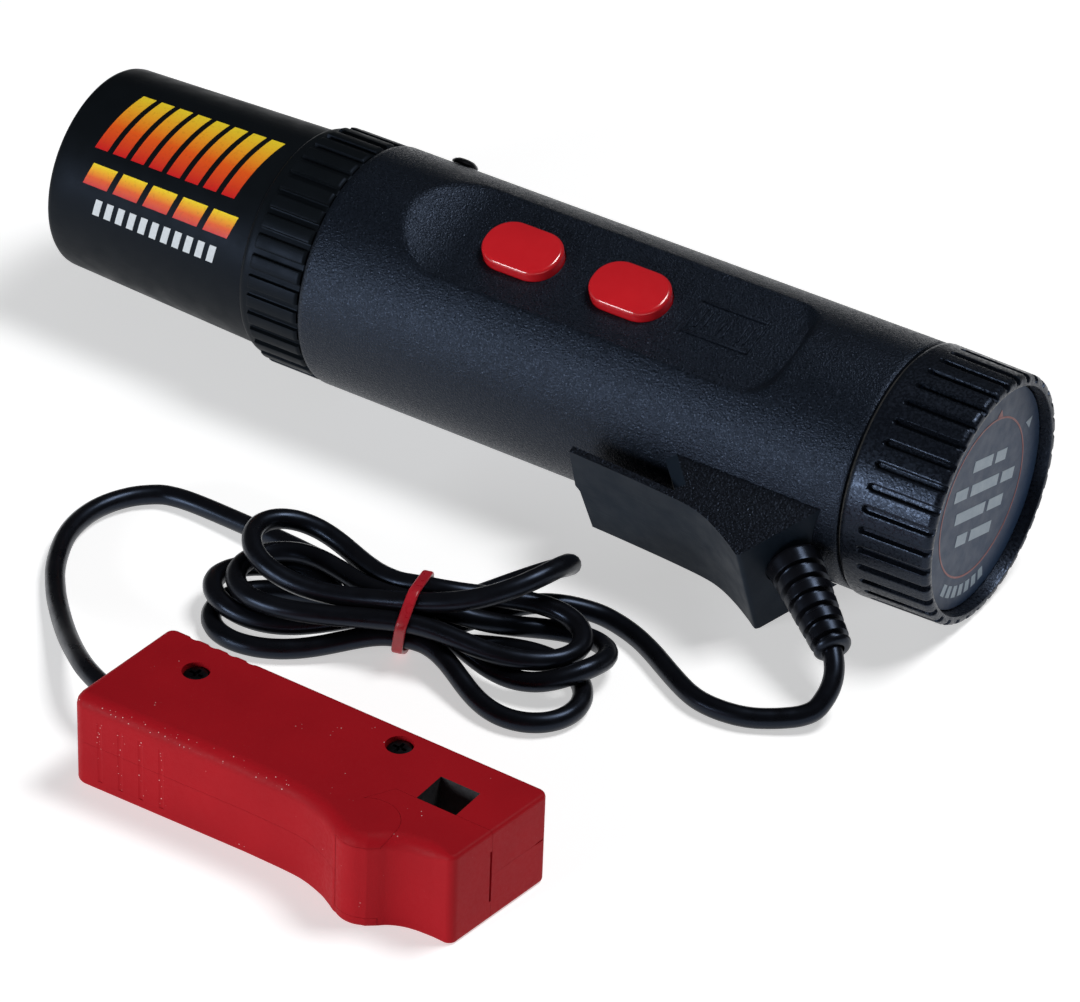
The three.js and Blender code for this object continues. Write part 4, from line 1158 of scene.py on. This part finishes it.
KX, KY = KNUCKLE
HAIRLINE = 0.06  # the visible gap round the jaw
EAR = 2.3  # the thickness of the case's ears over and under the knuckle
FLUTES = (4.5, 9.6, 14.7, 19.8)
ENTRY = CLAMP @ move(0, -CORD_ENTRY, CLAMP_SPLIT)


def case_outline():
    scoop = [(86.6, 29.3), (82.6, 29.6), (79.6, 30.3), (77.2, 31.5), (75.4, 33.0), (73.6, 34.4)]
    back = [(65.6, 34.2), (63.4, 32.9), (60.5, 31.5), (55.5, 30.0), (50.5, 29.5), (40, 29.4)]
    outline = [
        *arc((2, 2), 2, 180, 270, 6),
        *arc((CLAMP_LENGTH - 2.2, 2.2), 2.2, 270, 354, 6),
        *arc((CLAMP_LENGTH - 5.2, CLAMP_DEPTH - 2.1), 2.1, -6, 84, 6),
        *smooth_line(scoop, 5),
        *arc(KNUCKLE, KNUCKLE_R, 62, 122, 10),
        *smooth_line(back, 5),
        *arc((3.2 - CLAMP_SLANT, CLAMP_DEPTH - 2.1), 3.2, 92, 180, 8),
    ]
    spaced = [outline[0]]
    for p in outline[1:]:
        if math.dist(p, spaced[-1]) > 0.25:
            spaced.append(p)
    return [(x, -y) for x, y in spaced]


def jaw_outline(grow):
    """The region that swings with the jaw: round the knuckle, then straight along the window's front."""
    start, low = 69.0, WINDOW["front"] - grow
    knuckle = KNUCKLE_R + grow
    corner = (start - KX, low - KY)
    tangent = math.degrees(math.atan2(corner[1], corner[0]) - math.acos(knuckle / math.hypot(*corner))) + 360
    path = [*arc(KNUCKLE, knuckle, 122, tangent, 16), (start, low), (CLAMP_LENGTH + 5, low)]
    return [(x, -y) for x, y in [*path, (CLAMP_LENGTH + 5, 50), (62, 50)]]


def clamp_blank(name):
    """The whole case as one rounded block, with a broader round along its upper finger side."""
    outline = np.array(case_outline())
    along = np.roll(outline, -1, 0) - np.roll(outline, 1, 0)
    inward = np.stack([-along[:, 1], along[:, 0]], 1) / np.linalg.norm(along, axis=1, keepdims=True)
    if ((outline + 0.1 * inward - outline.mean(0)) ** 2).sum() > ((outline - outline.mean(0)) ** 2).sum():
        inward = -inward
    x, across = outline[:, 0], -outline[:, 1]
    broad = 1.0 + 2.0 * smoothstep(20, 28, across) * (1 - smoothstep(84, 91, x))
    rings = []
    for side, width in ((0, np.full(len(outline), 0.9)), (1, broad)):
        for tilt in np.radians((90, 67.5, 45, 22.5, 0)[:: 1 - 2 * side]):
            inset = (1 - math.cos(tilt)) * width
            height = (1 - math.sin(tilt)) * width
            place = outline + inward * inset[:, None]
            rings.append(np.column_stack([place, CLAMP_HEIGHT - height if side else height]))
    count = len(outline)
    faces = grid_faces(len(rings), count, False, True)
    faces += [tuple(range(count)), tuple(range((len(rings) - 1) * count, len(rings) * count))]
    return add_mesh(name, np.vstack(rings), faces, CLAMP)


def make_clamp_half(name, low, high):
    """One half of the case, cut from a blank that is rounded as a whole."""
    is_top = low > 0
    half = clamp_blank(name)
    depth = (low - 1, high + 1)
    if is_top:
        spare, ear = (-5, low), (CLAMP_HEIGHT - EAR, CLAMP_HEIGHT + 2)
        hollow, legs, tall = ((low - 1, roof) for roof in (CLAMP_HEIGHT - 2.2, 15.8, 17.2))
    else:
        spare, ear = (high, 40), (-2, EAR)
        hollow, legs, tall = ((floor, high + 1) for floor in (2.2, 6.5, 5.1))
    front = -WINDOW["front"] - 0.2
    cutters = [
        block("rest", (-10, 110), (-50, 10), spare, CLAMP),
        block("hollow", (3.2, 57), (-26, -2.6), hollow, CLAMP),
        block("window", (WINDOW["near"], WINDOW["far"]), (front, -WINDOW["back"]), depth, CLAMP),
        block("coil", (74.3, 83.2), (-8.3, -2.0), tall, CLAMP),
        block("yoke", (69.1, 88.4), (-6.9, -3.3), legs, CLAMP),
        block("leg", (69.1, 73.1), (front, -5), legs, CLAMP),
        block("leg", (84.4, 88.4), (front, -5), legs, CLAMP),
        rod("entry", -4, 5, 4.3, ENTRY),
    ]
    cutters += [post("notch", x, 0.75, *depth, 1.75, CLAMP) for x in (6.5, 11.3, 16.1, 20.9)]
    for x in FLUTES:
        side = CLAMP_DEPTH + (40 - x) * 0.028
        cutters.append(post("flute", x, -side - 1.7, 2.5, 17.5, 1.85, CLAMP))
    for x, across in CLAMP_SCREWS if is_top else ():
        cutters.append(post("seat", x, -across, CLAMP_HEIGHT - 3.3, 30, 3.0, CLAMP))
        cutters.append(post("bore", x, -across, low - 1, 30, 1.65, CLAMP))
    jaw_room = prism("jaw_room", jaw_outline(HAIRLINE), *depth, CLAMP)
    cut(jaw_room, post("ear", KX, -KY, *ear, KNUCKLE_R + 0.5, CLAMP))
    cut(half, *cutters, jaw_room)
    seam = (CLAMP_SPLIT - 0.16, CLAMP_SPLIT + 0.16)
    reach = (CLAMP_LENGTH - 0.35, CLAMP_LENGTH + 2)
    cut(half, block("groove", reach, (-WINDOW["front"] + 0.6, -1.5), seam, CLAMP))
    return flat_shade(half)


def line_window(half):
    """The core's dark faces show inside the window."""
    half.data.materials.append(MATERIALS["ferrite"])
    inverse = CLAMP.inverted()
    for face in half.data.polygons:
        centre = inverse @ face.center / MM
        inside = WINDOW["near"] - 0.1 < centre.x < WINDOW["far"] + 0.1
        inside &= -WINDOW["front"] - 0.3 < centre.y < -WINDOW["back"] + 0.1
        if inside and abs(face.normal.z) < 0.5:
            face.material_index = 1


def dust_flutes_and_highlight_edge(half):
    """Dust sits in the finger flutes, and pale specks along the front upper edge are a painted highlight."""
    half.data.materials.append(MATERIALS["clamp_dust_and_highlight"])
    inverse = CLAMP.inverted()
    for face in half.data.polygons:
        corners = [inverse @ half.data.vertices[i].co / MM for i in face.vertices]
        low_x, high_x = min(c.x for c in corners), max(c.x for c in corners)
        middle = (low_x + high_x) / 2
        flute = high_x - low_x < 1.2 and min(abs(middle - x) for x in FLUTES) < 1.0
        flute &= max(c.y for c in corners) < -CLAMP_DEPTH + 1.5
        # The front upper edge: its pale specks are a painted highlight.
        edge = face.normal.y < -0.3 and face.normal.z > 0.3 and middle < 50
        if flute or edge:
            face.material_index = 2


def make_jaw():
    jaw = clamp_blank("swinging_jaw")
    combine("INTERSECT", jaw, prism("region", jaw_outline(0), -1, CLAMP_HEIGHT + 1, CLAMP))
    ear, clear, front = EAR + HAIRLINE, KNUCKLE_R + 0.5 + HAIRLINE, -WINDOW["front"]
    cut(
        jaw,
        post("ear", KX, -KY, -1, ear, clear, CLAMP),
        post("ear", KX, -KY, CLAMP_HEIGHT - ear, CLAMP_HEIGHT + 1, clear, CLAMP),
        post("pin", KX, -KY, 0, CLAMP_HEIGHT, 1.65, CLAMP),
        post("spring_room", KX, -KY, 8.2, 14.1, 5.0, CLAMP),
        block("bar_room", (70.4, 87.2), (-21.2, front + 1), (6.7, 15.6), CLAMP),
        block("slot", (CLAMP_LENGTH - 6, CLAMP_LENGTH + 1), (front - 0.55, front + 0.1), (4.6, 17.4), CLAMP),
    )
    return flat_shade(jaw)


def make_clamp_screw(name, x, across):
    seat = CLAMP_HEIGHT - 2.7
    head = [(0, 1.35), (0, 2.75), (1.5, 2.75), (1.85, 2.5), (2.0, 2.0), (2.0, 0)]
    outline = [(4.6, 0), (4.6, 1.35), *((seat + out, radius) for out, radius in head)]
    stand = CLAMP @ move(x, -across, 0) @ turn(-90, "Y")
    return cross_cut(revolve(name, outline, stand, 48), stand, seat + 1.1, 1.6, 0.35)


def make_bushing():
    bore = CORD_R + 0.08
    outline = [(-3.0, bore), (-3.0, 4.3), (-2.8, 4.6), (-2.1, 5.2), (-2.1, 4.0), (4.6, 4.0), (4.6, bore)]
    return shade(revolve("lead_bushing", outline, ENTRY, 64, closed=True), 30)


SPLIT_HALF_GAP = 0.02
case_low = make_clamp_half("clamp_lower_case", 0, CLAMP_SPLIT - SPLIT_HALF_GAP)
case_top = make_clamp_half("clamp_upper_case", CLAMP_SPLIT + SPLIT_HALF_GAP, CLAMP_HEIGHT)
done(case_low, "tool_body", "clamp_red", "pickup_case_bottom")
done(case_top, "tool_body", "clamp_red", "pickup_case_top")
for half in (case_low, case_top):
    line_window(half)
    dust_flutes_and_highlight_edge(half)
done(make_jaw(), "jaw", "clamp_red", "pickup_jaw")
for i, place in enumerate(CLAMP_SCREWS, 1):
    done(make_clamp_screw(f"clamp_screw_{i}", *place), "tool_body", "black_steel", f"pickup_screw_{i}")
done(make_bushing(), "tool_body", "seal_black", "cord_bushing")


# ---- The CAD nodes that stay ----

slot_of = {row["node"]: row["material_slot"] for row in frame["record"]["subparts"]}
for name, obj in frame["nodes"].items():
    if obj.hide_render:
        continue
    obj.data.materials.clear()
    obj.data.materials.append(MATERIALS[slot_of[name]])
    obj.data.shade_smooth()
    obj.data.set_sharp_from_angle(angle=rad(35))


# ---- The cord's and the tie's looks and bodies ----

cord.data.materials.append(MATERIALS["cord_black"])
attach(cord, "tool_body")
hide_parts("cord_to_hank", "cord_hank", "cord_to_clamp")
done(tie, "tool_body", "tie_red", "hank_tie")


# ---- Floor and light ----

def make_floor():
    floor = block("floor", (-3000, 3000), (-3000, 3000), (-20, -0.05), Matrix.Identity(4))
    look = Look("floor", (0.8, 0.8, 0.8), 0.6, emission_strength=0.52, specular_ior_level=0.1)
    look.shader.inputs["Emission Color"].default_value = (1, 1, 1, 1)
    look.mottle(400, 2, (0.79, 0.79, 0.79), (0.81, 0.81, 0.81))
    floor.data.materials.append(look.material)


def area_light(name, place, target, size, power, colour):
    data = bpy.data.lights.new(name, "AREA")
    data.shape = "RECTANGLE"
    data.size, data.size_y = size
    data.energy = power
    data.color = colour
    light = add_object(name, data)
    light.location = place
    light.rotation_euler = (Vector(target) - Vector(place)).to_track_quat("-Z", "Y").to_euler()


def make_light():
    world = bpy.data.worlds.new("studio")
    world.use_nodes = True
    background = world.node_tree.nodes["Background"]
    background.inputs["Color"].default_value = (0.9, 0.95, 1.0, 1)
    background.inputs["Strength"].default_value = 0.04
    bpy.context.scene.world = world
    area_light("key", (-0.6, -1.5, 0.32), (0, 0, 0.03), (0.8, 0.4), 18, (0.94, 0.97, 1.0))
    area_light("back", (0.42, 0.38, 1.20), (0, 0, 0.02), (0.45, 0.45), 11, (1, 1, 1))
    bpy.context.scene.view_settings.view_transform = "Standard"


make_camera()
make_floor()
make_light()
